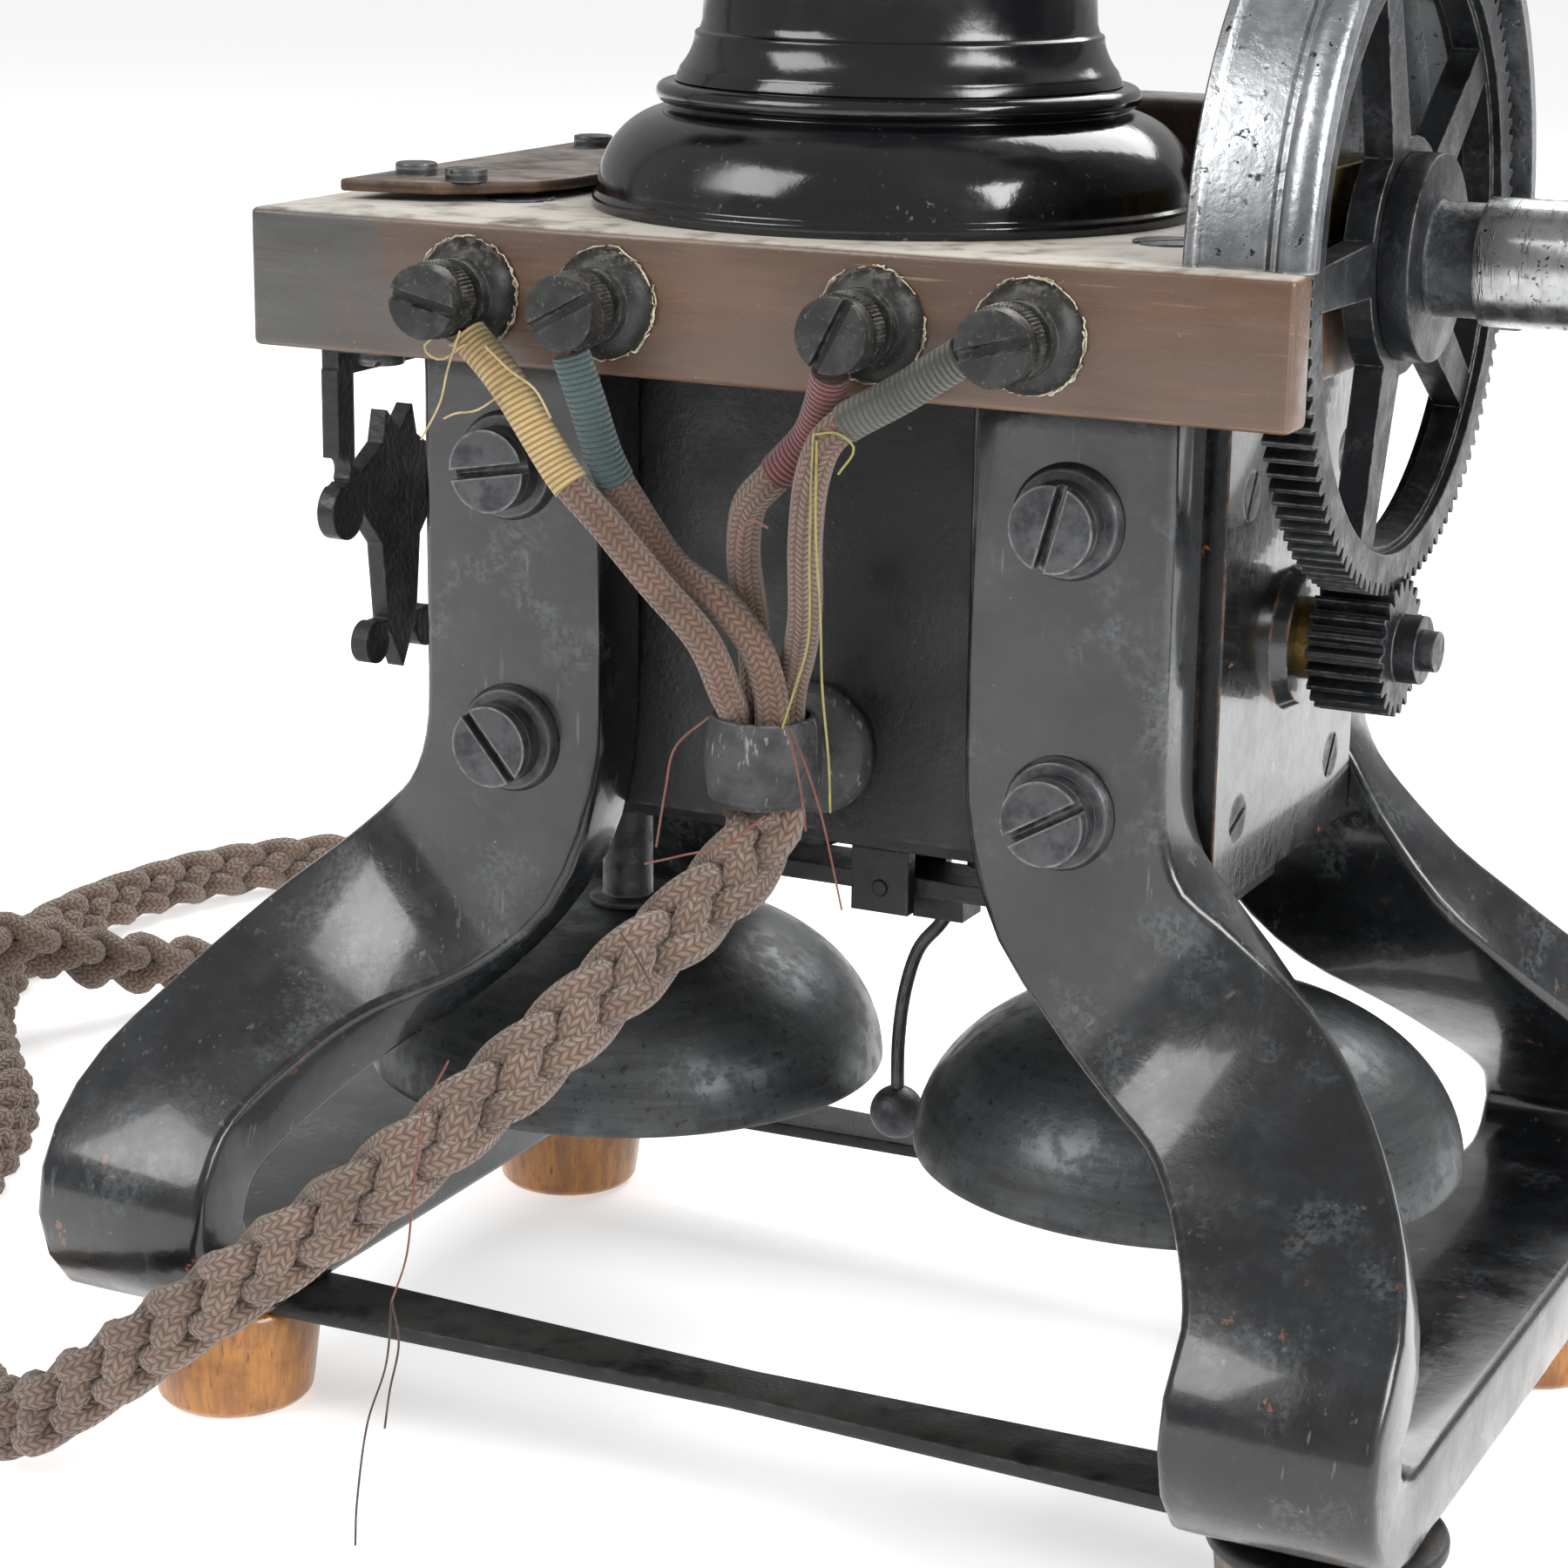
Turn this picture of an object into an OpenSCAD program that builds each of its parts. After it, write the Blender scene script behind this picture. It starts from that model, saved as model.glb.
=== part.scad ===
// Magneto table telephone with an open skeleton frame.
// Two bent magnets are the legs, and they carry a hand generator, a terminal board,
// a column with a cradle and a handset. X runs along the board, Y to the back, Z up.
// The origin is on the table, under the middle of the telephone.

/* [Terminal board] */
// Length of the terminal board
board_len = 132; // [130:1:134]
// Thickness of the terminal board
board_thk = 16.7; // [15:0.1:18]
// Height of the underside of the board above the table
board_z = 141.3; // [141.3:0.1:142]
// Distance of the board's front face from the middle
board_front = 49; // [48.5:0.1:50]

/* [Magnet legs] */
// Width of the magnet bar
bar_w = 25; // [24:0.5:25.5]
// Thickness of the magnet bar
bar_t = 11; // [10:0.1:11]
// Distance of each upright from the middle
leg_x = 36.7; // [36:0.1:37]
// Distance of each base bar from the middle
toe_x = 75.6; // [75:0.1:76]
// Height of the middle of the base bars
base_z = 22.5; // [22.5:0.1:23]

/* [Generator] */
// Outer face of the end plates
end_x = 51.5; // [51:0.1:52]
// Front face of the front pole plate
pole_y = 26.6; // [26.6:0.1:27]
// Height of the armature's axis
armature_z = 108.4; // [108.4:0.1:108.4]
// Radius of the armature
armature_r = 14; // [13.5:0.1:14.2]
// Thickness of the pole plates
pole_t = 11.5; // [11:0.5:12]

/* [Gears] */
// Gear module
gear_m = 0.7; // [0.7:0.1:0.7]
// Teeth on the wheel
wheel_teeth = 112; // [112:4:112]
// Teeth on the pinion
pinion_teeth = 22; // [22:4:22]
// Left face of the wheel
wheel_x = 58.5; // [58.3:0.1:58.7]
// Thickness of the wheel's toothed rim
wheel_w = 6; // [5:0.5:6]

/* [Bells] */
// Radius of a bell's rim
bell_r = 35; // [33:0.5:35]
// Distance of each bell from the middle
bell_x = 40.7; // [40.7:0.1:41]
// Height of the rims
bell_z = 40; // [39:0.5:40]
// Height of a bell
bell_h = 21.5; // [21:0.5:22]

/* [Handset] */
// Height of the middle of the handle
handle_z = 297; // [296:0.5:298]
// Radius of the handle where it rests in the fork
handle_r = 9; // [8:0.5:9]
// Distance of the earpiece and of the mouthpiece from the middle
cup_x = 94; // [92:1:95]

/* [Cord] */
// Thickness of the plaited cord
cord_d = 11; // [10:0.5:11]
// Thickness of each lead
lead_d = 4; // [3.6:0.1:4]

/* [Hidden] */
$fn = 64;

board_top = board_z + board_thk;
board_rear = 49;
leg_y = pole_y + bar_t / 2;
centre_distance = gear_m * (wheel_teeth + pinion_teeth) / 2;
axle_z = armature_z + centre_distance;
notch_x = wheel_x - 1.3;
bolt_heights = [93.1, 127.4];
board_screw_at = [42.8, 24.4];
bracket_screw_x = -56;
bracket_screw_y = [-36, -20];
foot_y = 45;
foot_h = 15;
strap_t = base_z - bar_t / 2 - foot_h;
terminal_x = [-35.2, -17, 17, 36];
terminal_z = 149.8;
column_y = -6;
ring_at = [0, -41, 96];
post_top = 76;
crank_r = 55;
shell_r = 24;
lever_pivot = [-24, 0, handle_z + 13.4];
slot_w = 1.3;

// ---------- small shared shapes ----------

module tube_x(x0, x1, r, y = 0, z = 0) {
    translate([x0, y, z]) rotate([0, 90, 0]) cylinder(h = x1 - x0, r = r);
}

module tube_y(y0, y1, r, x = 0, z = 0) {
    translate([x, y1, z]) rotate([90, 0, 0]) cylinder(h = y1 - y0, r = r);
}

module block(low, high) {
    translate(low) cube(high - low);
}

// Cheese-head screw along +Z: head from 0 to head_h, shank below 0, slot turned by turn.
module slotted_screw(head_r, head_h, shank_r, shank_l, turn = 0) {
    difference() {
        cylinder(h = head_h, r = head_r);
        rotate([0, 0, turn]) translate([-head_r - 1, -slot_w / 2, head_h * 0.6])
            cube([2 * head_r + 2, slot_w, head_h]);
    }
    translate([0, 0, -shank_l]) cylinder(h = shank_l, r = shank_r);
}

// Countersunk slotted screw along +Z with its top at 0.
module flush_screw(head_r, shank_r, length, turn = 0) {
    difference() {
        union() {
            translate([0, 0, -head_r + shank_r]) cylinder(h = head_r - shank_r, r1 = shank_r, r2 = head_r);
            translate([0, 0, -length]) cylinder(h = length - head_r + shank_r, r = shank_r);
        }
        rotate([0, 0, turn]) translate([-head_r - 1, -0.5, -0.7]) cube([2 * head_r + 2, 1, 2]);
    }
}

module flush_hole(head_r, shank_r, length) {
    translate([0, 0, -head_r + shank_r]) cylinder(h = head_r - shank_r, r1 = shank_r, r2 = head_r);
    translate([0, 0, -length]) cylinder(h = length, r = shank_r);
}

// ---------- sweeps ----------

function unit(v) = v / norm(v);
function curve_point(a, b, c, d, t) =
    0.5 * (2 * b + (c - a) * t + (2 * a - 5 * b + 4 * c - d) * t * t + (3 * b - a - 3 * c + d) * t * t * t);
function curve(p, per) = [
    for (i = [0:len(p) - 2], k = [0:per - 1])
        curve_point(p[max(i - 1, 0)], p[i], p[i + 1], p[min(i + 2, len(p) - 1)], k / per),
    p[len(p) - 1]];
function tangent(p, i) = unit(p[min(i + 1, len(p) - 1)] - p[max(i - 1, 0)]);
function ring_faces(rings, sides) = concat(
    [for (i = [0:rings - 2], k = [0:sides - 1])
        [i * sides + k, (i + 1) * sides + k, (i + 1) * sides + (k + 1) % sides, i * sides + (k + 1) % sides]],
    [[for (k = [0:sides - 1]) k]],
    [[for (k = [0:sides - 1]) rings * sides - 1 - k]]);

// Flat bar swept along path, its width kept as near to X as the path lets it.
module bar_sweep(path, width, thick, chamfer) {
    w = width / 2;
    t = thick / 2;
    outline = [[chamfer - w, t], [-w, t - chamfer], [-w, chamfer - t], [chamfer - w, -t],
        [w - chamfer, -t], [w, chamfer - t], [w, t - chamfer], [w - chamfer, t]];
    points = [for (i = [0:len(path) - 1])
        let (along = tangent(path, i), side = unit([1, 0, 0] - along * along.x), face = cross(along, side))
        for (q = outline) path[i] + side * q.x + face * q.y];
    polyhedron(points = points, faces = ring_faces(len(path), len(outline)));
}

// Directions across the path, each turned as little as possible from the one before.
function across(path, i, last) = i == len(path) ? [] :
    let (along = tangent(path, i), side = unit(last - along * (last * along)))
    concat([side], across(path, i + 1, side));

// Round cord swept along path with the given number of sides.
module cord_sweep(path, diameter, sides) {
    side = across(path, 0, [0, 1, 0]);
    points = [for (i = [0:len(path) - 1]) let (face = cross(tangent(path, i), side[i]))
        for (k = [0:sides - 1]) let (a = 360 * k / sides)
            path[i] + (side[i] * cos(a) + face * sin(a)) * diameter / 2];
    polyhedron(points = points, faces = ring_faces(len(path), sides));
}

// ---------- magnet legs ----------

front_half = [[leg_x, -leg_y, board_z], [leg_x, -leg_y, 118], [leg_x, -leg_y, 102], [37.2, -leg_y, 91],
    [40, -leg_y + 0.2, 82], [45.5, -31.4, 74.5], [53.5, -33.2, 66.8], [62.5, -38.4, 59.5], [69.8, -47, 51.5],
    [toe_x - 0.4, -57.5, 43], [toe_x, -64.4, 34.6], [toe_x, -62.8, 26.6], [toe_x, -56, base_z],
    [toe_x, -45, base_z], [toe_x, -22, base_z]];
loop_points = concat(front_half,
    [for (i = [len(front_half) - 1:-1:0]) [front_half[i].x, -front_half[i].y, front_half[i].z]]);

module magnet() {
    color("#15161a") difference() {
        bar_sweep(curve(loop_points, 3), bar_w, bar_t, 1);
        for (z = bolt_heights) tube_y(-leg_y - bar_t, leg_y + bar_t, 2.6, leg_x, z);
        for (z = bolt_heights) tube_y(-leg_y - bar_t, -pole_y - bar_t, 7, leg_x, z);
        for (z = bolt_heights) tube_y(pole_y + bar_t, leg_y + bar_t, 7, leg_x, z);
        block([toe_x - bar_w, -60, foot_h], [toe_x + bar_w, 60, foot_h + strap_t]);
        for (s = [-1, 1]) translate([toe_x, s * foot_y, base_z - bar_t]) cylinder(h = bar_t + 1.7, r = 2.1);
    }
}

module magnet_right() {
    magnet();
}

module magnet_left() {
    mirror([1, 0, 0]) magnet();
}

module at_magnet_bolts() {
    for (sx = [-1, 1], sy = [0, 180], i = [0, 1])
        rotate([0, 0, sy]) translate([sx * leg_x, -pole_y - bar_t, bolt_heights[i]])
            rotate([90, 0, 0]) rotate([0, 0, 35 * sx + 25 * i]) children();
}

module magnet_bolts() {
    color("#4c4e51") at_magnet_bolts() translate([0, 0, 1.6])
        slotted_screw(5.1, 4.2, 2.5, 1.6 + bar_t + 6, 20);
}

module magnet_washers() {
    color("#3d3f42") at_magnet_bolts() difference() {
        cylinder(h = 1.6, r1 = 6.8, r2 = 6.3);
        translate([0, 0, -1]) cylinder(h = 4, r = 2.6);
    }
}

// ---------- generator ----------

module pole_plate() {
    color("#17181b") difference() {
        union() {
            block([-end_x + 3, -pole_y, 83.5], [end_x - 3, -pole_y + pole_t, board_z]);
            block([-end_x + 6, -pole_y + pole_t, 92.5], [end_x - 6, -4.5, 124.5]);
        }
        tube_x(-end_x, end_x, armature_r + 0.5, 0, armature_z);
        for (sx = [-1, 1], z = bolt_heights) tube_y(-pole_y - 1, -pole_y + 6.5, 2.5, sx * leg_x, z);
        for (sx = [-1, 1], z = [89.5, 128.5])
            tube_x(min(sx * 40, sx * 49), max(sx * 40, sx * 49), 1.5, -17.5, z);
        for (sx = [-1, 1]) translate([sx * board_screw_at.x, -board_screw_at.y, board_z - 8.5])
            cylinder(h = 10, r = 1.6);
        tube_y(-pole_y - 1, -pole_y + 4, 1.5, ring_at.x, ring_at.z - 2);
    }
}

module pole_plate_front() {
    pole_plate();
}

module pole_plate_rear() {
    rotate([0, 0, 180]) pole_plate();
}

module end_plate(side) {
    color("#101114") difference() {
        union() {
            translate([side * (end_x - 1.5), 0, (80 + board_z) / 2])
                cube([3, 2 * pole_y - 2, board_z - 80], center = true);
            translate([side * end_x, 0, armature_z]) rotate([0, side * 90, 0])
                cylinder(h = 2, r1 = 9, r2 = 8);
        }
        tube_x(-60, 60, 5, 0, armature_z);
        for (y = [-17.5, 17.5], z = [89.5, 128.5])
            translate([side * end_x, y, z]) rotate([0, side * 90, 0]) flush_hole(3, 1.5, 4);
    }
}

module end_plate_left() {
    end_plate(-1);
}

module end_plate_right() {
    end_plate(1);
}

module end_plate_screws() {
    color("#8d8a80") for (s = [-1, 1], y = [-17.5, 17.5], z = [89.5, 128.5])
        translate([s * end_x, y, z]) rotate([0, s * 90, 0]) flush_screw(3, 1.5, 9, 40 + y + z);
}

module armature_bushes() {
    color("#a98b4c") for (s = [-1, 1]) difference() {
        translate([s * (end_x + 0.5), 0, armature_z]) rotate([0, 90, 0]) cylinder(h = 7, r = 5, center = true);
        tube_x(-60, 60, 2.55, 0, armature_z);
    }
}

module armature_outline() {
    difference() {
        circle(r = armature_r);
        for (s = [-1, 1]) translate([s * 9, 0]) square([12, 15], center = true);
    }
}

module armature_core() {
    color("#5b5d60") translate([-40, 0, armature_z]) rotate([0, 90, 0]) linear_extrude(80) difference() {
        armature_outline();
        circle(r = 2.5);
    }
}

module armature_winding() {
    color("#3f5a3c") for (s = [-1, 1])
        block([-43, -7.4, armature_z + min(s * 3.1, s * 11)], [43, 7.4, armature_z + max(s * 3.1, s * 11)]);
}

module armature_shaft() {
    color("#8f9194") tube_x(-56, 69.8, 2.5, 0, armature_z);
}

// ---------- gears ----------

// The four corners of tooth i: root, tip, tip, root.
function tooth_points(teeth, i) =
    let (r = gear_m * teeth / 2, step = 360 / teeth, half = 90 * 0.94 / teeth,
        tip = r + 0.95 * gear_m, root = r - 1.2 * gear_m, lean = 0.36 * gear_m * 180 / (r * PI),
        corners = [[-half - lean * 1.15, root], [-half + lean, tip],
            [half - lean, tip], [half + lean * 1.15, root]])
    [for (q = corners) q.y * [cos(i * step + q.x), sin(i * step + q.x)]];

module toothed_disc(teeth) {
    polygon([for (i = [0:teeth - 1], q = tooth_points(teeth, i)) q]);
}

module pinion() {
    color("#3c3631") difference() {
        union() {
            translate([end_x + 4.3, 0, armature_z]) rotate([0, 90, 0]) rotate(180 / pinion_teeth)
                linear_extrude(9.4) toothed_disc(pinion_teeth);
            tube_x(end_x + 13.7, end_x + 16.5, 4.15, 0, armature_z);
        }
        tube_x(0, 90, 2.5, 0, armature_z);
    }
}

function arc(r, from, to, steps) =
    [for (k = [0:steps]) let (a = from + (to - from) * k / steps) r * [cos(a), sin(a)]];

// Opening between two spokes, whose middle lines are at the angles from and to.
module spoke_window(from, to) {
    near = asin(3.2 / 14);
    far = asin(2.4 / 34.2);
    polygon(concat(arc(14, from + near, to - near, 4), arc(34.2, to - far, from + far, 12)));
}

module gear_wheel() {
    web_t = 3.6;
    back = (wheel_w - web_t) / 2;
    color("#2a2c30") translate([wheel_x, 0, axle_z]) rotate([90, 0, 90]) difference() {
        linear_extrude(wheel_w) toothed_disc(wheel_teeth);
        translate([0, 0, -1]) cylinder(h = 1 + back, r = 35);
        translate([0, 0, back + web_t]) cylinder(h = 5, r = 35);
        translate([0, 0, -1]) linear_extrude(wheel_w + 2)
            for (i = [0:4]) spoke_window(37 + 72 * i, 109 + 72 * i);
        translate([0, 0, -1]) cylinder(h = wheel_w + 2, r = 4);
    }
}

module wheel_hub() {
    color("#202226") difference() {
        union() {
            tube_x(wheel_x + 4.8, wheel_x + 8.6, 12.2, 0, axle_z);
            tube_x(wheel_x + 8.6, wheel_x + 14.6, 6.7, 0, axle_z);
        }
        tube_x(0, 90, 4, 0, axle_z);
    }
}

module axle() {
    color("#8f9194") tube_x(47.6, 96, 4, 0, axle_z);
}

module crank() {
    color("#7d8084") difference() {
        union() {
            tube_x(wheel_x + 14.6, 92, 7.5, 0, axle_z);
            translate([92, 0, 0]) rotate([90, 0, 90]) linear_extrude(5) hull() {
                translate([0, axle_z]) circle(r = 8.5);
                translate([0, axle_z - crank_r]) circle(r = 5.5);
            }
            tube_x(97, 130, 2.5, 0, axle_z - crank_r);
        }
        tube_x(0, 96, 4, 0, axle_z);
    }
}

module crank_knob() {
    color("#1c1410") translate([97.4, 0, axle_z - crank_r]) rotate([0, 90, 0]) difference() {
        rotate_extrude() polygon([[0, 0], [7.2, 0], [7.8, 1.2], [6.6, 3.6], [6.4, 7], [7.6, 14],
            [9, 21], [9.4, 26], [8.8, 31], [6.6, 34.6], [3.4, 36.3], [0, 36.6]]);
        translate([0, 0, -1]) cylinder(h = 34, r = 2.56);
    }
}

module axle_block() {
    color("#8a713e") difference() {
        block([47.6, -10.7, 143], [wheel_x - 1.5, 10.7, 166]);
        tube_x(0, 90, 4.05, 0, axle_z);
    }
}

// ---------- terminal board and what stands on it ----------

module terminal_board() {
    color("#5a4636") difference() {
        block([-board_len / 2, -board_front, board_z], [board_len / 2, board_rear, board_top]);
        block([notch_x, -43, board_z - 1], [board_len / 2 + 1, 43, board_top + 1]);
        block([47.4, -10.9, 142.8], [notch_x + 1, 10.9, board_top + 1]);
        translate([0, column_y, board_z - 1]) cylinder(h = board_thk + 2, r = 14);
        for (x = terminal_x) tube_y(-60, 60, 2, x, terminal_z);
        for (sx = [-1, 1], sy = [-1, 1])
            translate([sx * board_screw_at.x, sy * board_screw_at.y, board_top]) flush_hole(4.4, 1.6, 30);
        for (y = bracket_screw_y) translate([bracket_screw_x, y, board_z - 1]) cylinder(h = 8, r = 1.5);
    }
}

module board_screws() {
    color("#6b6a66") for (sx = [-1, 1], sy = [-1, 1])
        translate([sx * board_screw_at.x, sy * board_screw_at.y, board_top])
            flush_screw(4.4, 1.6, board_thk + 8, 30 * sx + 20);
    color("#6b6a66") for (p = plate_screws)
        translate([p.x, p.y, board_top + 2.5]) slotted_screw(2.6, 1.6, 1.2, 2.4, p.z);
    color("#6b6a66") for (y = bracket_screw_y)
        translate([bracket_screw_x, y, board_z - 1.6]) rotate([180, 0, 0]) slotted_screw(3, 1.6, 1.5, 8, 65);
}

// The four front and four rear terminals stand square to the board's faces.
module at_terminals() {
    for (i = [0:3]) {
        translate([terminal_x[i], -board_front, terminal_z]) rotate([90, 0, 0]) children();
        translate([terminal_x[i], board_rear, terminal_z]) rotate([-90, 0, 0]) children();
    }
}

module terminal_flanges() {
    color("#2b2b2b") at_terminals() difference() {
        rotate_extrude()
            polygon([[0, 0], [6.4, 0], [6.4, 0.7], [6, 1.7], [5.2, 2.5], [4.4, 2.9], [4.4, 4.4], [0, 4.4]]);
        translate([0, 0, -1]) cylinder(h = 7, r = 2.05);
    }
}

module terminal_screws() {
    color("#222222") at_terminals() difference() {
        union() {
            translate([0, 0, 6.2]) cylinder(h = 5, r = 4.55);
            translate([0, 0, -8]) cylinder(h = 14.2, r = 2);
        }
        rotate([0, 0, 50]) translate([-6, -0.6, 9.9]) cube([12, 1.2, 3]);
    }
}

// Places and slot angles of the screws in the lightning arrester's plate.
plate_screws = [[-56, -27, 40], [-47, -30, 75], [-56, 18, 10], [-47, 22, 55]];

module arrester_plate() {
    color("#4a352a") difference() {
        union() {
            translate([0, 0, board_top + 1]) linear_extrude(1.5) polygon([[-61.5, -36], [-48.5, -33.6],
                [-40, -25.5], [-38.4, -18], [-38.4, 8], [-43, 25], [-50, 30], [-62, 24]]);
            for (y = [-14, 4]) translate([-52, y, board_top]) cylinder(h = 1.2, r = 4);
        }
        for (p = plate_screws) translate([p.x, p.y, board_top]) cylinder(h = 4, r = 1.25);
    }
}

module rear_block() {
    color("#54402f") difference() {
        block([-30, 33, board_top], [44, 45, board_top + 11.5]);
        for (x = [-30, 44]) translate([x, 32, board_top + 11.5]) rotate([-90, 0, 0]) cylinder(h = 14, r = 2);
    }
}

module gear_guard() {
    x0 = 51.6;
    x1 = wheel_x + wheel_w + 1.8;
    color("#3b3d41") difference() {
        union() {
            tube_x(x0, x1 - 0.2, 44.2, 0, axle_z);
            tube_x(x0, x0 + 1.6, 45, 0, axle_z);
            tube_x(x1 - 4.2, x1, 45.2, 0, axle_z);
        }
        tube_x(x0 + 1.4, x1 + 1, 42.4, 0, axle_z);
        block([x0 - 1, -60, 60], [90, 60, board_top]);
        block([x0 - 1, -11.2, board_top - 1], [x0 + 3, 11.2, 167]);
    }
}

// ---------- column ----------

module column_foot() {
    color("#0d0e11") translate([0, column_y, board_top]) rotate_extrude() difference() {
        union() {
            polygon(concat([[20, 0], [37.4, 0], [37.4, 1.4], [36.8, 1.9]],
                [for (a = [0:10:80]) [26.6 + 10.2 * cos(a), 2 + 10.2 * sin(a)]], [[20, 12.1]]));
            translate([20, 11.5]) square([8.6, 3.7]);
            translate([28.4, 13.8]) circle(r = 1.3, $fn = 24);
        }
        translate([10, 15.2]) square([30, 5]);
    }
}

module column_tube() {
    color("#0d0e11") translate([0, column_y, board_top]) rotate_extrude() polygon(concat(
        [[20, 15.2], [27.4, 15.2], [26.8, 16.4]],
        [for (t = [0:0.2:1]) [24.9 + 1.9 * (1 - t) * (1 - t), 16.6 + 4.4 * t]],
        [[24.3, 21.3], [24, 22.4]],
        [for (t = [0:0.1:1]) [16 + 7.8 * pow(cos(90 * t), 1.4), 26 + 34 * t]],
        [[16, 84], [18.2, 85.5], [18.2, 88.5], [16, 90], [16, 96], [13, 96], [13, 30], [20, 24]]));
}

module column_cap() {
    color("#0d0e11") translate([0, column_y, board_top + 96]) difference() {
        rotate_extrude()
            polygon([[0, 0], [16, 0], [19, 2], [20.5, 4.5], [20.5, 7], [17, 9], [10, 11], [7, 14], [0, 14]]);
        translate([0, 0, -1]) cylinder(h = 16, r = 3.05);
        translate([0, 0, -1]) cylinder(h = 2, r = 12);
    }
}

module coil_bobbin() {
    color("#7a4a2c") translate([0, column_y, board_z + 5]) difference() {
        union() {
            cylinder(h = 62, r = 4);
            for (z = [0, 58]) translate([0, 0, z]) cylinder(h = 4, r = 12.4);
        }
        translate([0, 0, -1]) cylinder(h = 64, r = 2.5);
    }
}

module coil_winding() {
    color("#2f5134") translate([0, column_y, board_z + 9]) difference() {
        cylinder(h = 54, r = 11);
        translate([0, 0, -1]) cylinder(h = 56, r = 4);
    }
}

module switch_block() {
    color("#2a1d16") translate([0, column_y, board_z + 67]) difference() {
        cylinder(h = 12, r = 12.6);
        translate([0, 0, 2]) cylinder(h = 12, r = 9);
    }
}

module switch_springs() {
    color("#b9a15a") for (s = [-1, 1]) translate([s * 7, column_y, 0])
        block([-0.4, -3, board_z + 69], [0.4, 3, board_z + 90]);
}

module switch_bracket_left() {
    x = -board_len / 2 + 4;
    color("#131417") translate([x, -26, 0]) rotate([90, 0, 90]) linear_extrude(2.4) {
        difference() {
            union() {
                translate([0, 139]) square([28, 4.6], center = true);
                translate([-12.4, 131.5]) square([3.6, 12], center = true);
                translate([12.4, 131.5]) square([3.6, 12], center = true);
                polygon([[-14, 127], [-9, 124], [-4, 127], [-3, 131], [0, 128], [3, 131], [4, 127], [9, 124],
                    [14, 127], [10, 120], [4.5, 114], [3.4, 104], [-3.4, 104], [-4.5, 114], [-10, 120]]);
                for (s = [-1, 1]) translate([s * 12.2, 119.5]) circle(r = 3.6);
                for (s = [-1, 1]) translate([s * 6, 101.5]) circle(r = 2.7);
                polygon([[-5, 104], [5, 104], [2.4, 101.6], [0, 97.2], [-2.4, 101.6]]);
            }
            for (s = [-1, 1]) translate([s * 13.6, 124.6]) circle(r = 1.9);
        }
    }
    color("#131417") difference() {
        block([x, -40, board_z - 1.6], [x + 9, -12, board_z]);
        for (y = bracket_screw_y) translate([bracket_screw_x, y, board_z - 3]) cylinder(h = 4, r = 1.5);
    }
}

// ---------- cord ring ----------

module cord_rosette() {
    color("#2d2f31") translate([ring_at.x, -pole_y, ring_at.z - 2]) rotate([90, 0, 0]) rotate_extrude()
        polygon([[0, -4], [1.5, -4], [1.5, 0], [8.2, 0], [8.2, 1], [7.2, 2.2], [4, 3.2], [2.6, 3.6],
            [2.4, 6.9], [0, 6.9]]);
}

module cord_ring() {
    color("#5a5c5e") translate(ring_at) rotate_extrude()
        polygon([[5.2, -5.3], [6, -5.3], [6.8, -3], [7.1, 0], [6.9, 3], [6.4, 5.3], [5.6, 5.3]]);
}

// ---------- ringer ----------

module ringer_bar() {
    color("#26282b") difference() {
        union() {
            block([-48.3, -7, post_top], [48.3, 7, 80]);
            for (s = [-1, 1]) translate([s * 12, 0, 73.8]) cylinder(h = 17.2, r = 2.6);
            for (s = [-1, 1]) translate([s * 46.2, 0, 81.7]) cube([4.2, 48, 3.6], center = true);
        }
        for (s = [-1, 1]) translate([s * bell_x, 0, post_top - 1]) cylinder(h = 6, r = 1.9);
    }
}

module ringer_coils() {
    color("#31543a") for (s = [-1, 1]) translate([s * 12, 0, 80]) difference() {
        cylinder(h = 11, r = 7.5);
        translate([0, 0, -1]) cylinder(h = 13, r = 2.6);
    }
}

module ringer_pivots() {
    color("#303236") difference() {
        for (s = [-1, 1]) block([-4, min(s * 5, s * 7), 67.5], [4, max(s * 5, s * 7), post_top]);
        tube_y(-8, 8, 1.05, 0, 70.8);
    }
}

module clapper_armature() {
    color("#303236") union() {
        block([-17, -4.5, 69.6], [17, 4.5, 72]);
        tube_y(-7.2, 7.2, 1, 0, 70.8);
        block([3, -3, 66.4], [10, 3, 69.6]);
    }
}

clapper_route = [[7, 0, 66.4], [5.4, 0, 64.6], [2.6, 0, 61], [0.8, 0, 55], [0, 0, 48], [0, 0, 40]];

module clapper() {
    color("#232426") union() {
        cord_sweep(curve(clapper_route, 3), 1.8, 8);
        translate([0, 0, 38]) sphere(r = 3.6);
    }
}

module bell() {
    outer = [for (a = [0:9:81]) [bell_r * pow(cos(a), 0.82), bell_z + bell_h * sin(a)]];
    inner = [for (a = [81:-9:0]) [(bell_r - 1.8) * pow(cos(a), 0.82), bell_z + (bell_h - 1.8) * sin(a)]];
    rotate_extrude() polygon(concat(outer, [[2.1, bell_z + bell_h], [2.1, bell_z + bell_h - 1.8]], inner));
}

module bell_left() {
    color("#3a3d3e") translate([-bell_x, 0, 0]) bell();
}

module bell_right() {
    color("#3a3d3e") translate([bell_x, 0, 0]) bell();
}

module bell_posts() {
    top = bell_z + bell_h;
    color("#4a4c4e") for (s = [-1, 1]) translate([s * bell_x, 0, 0]) {
        translate([0, 0, top]) cylinder(h = post_top - top, r = 3.4);
        translate([0, 0, post_top]) cylinder(h = 4, r = 1.9);
        translate([0, 0, top - 5]) cylinder(h = 5, r = 2);
        translate([0, 0, top - 5.4]) cylinder(h = 3.4, r = 4.4);
    }
}

// ---------- feet and straps ----------

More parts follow.
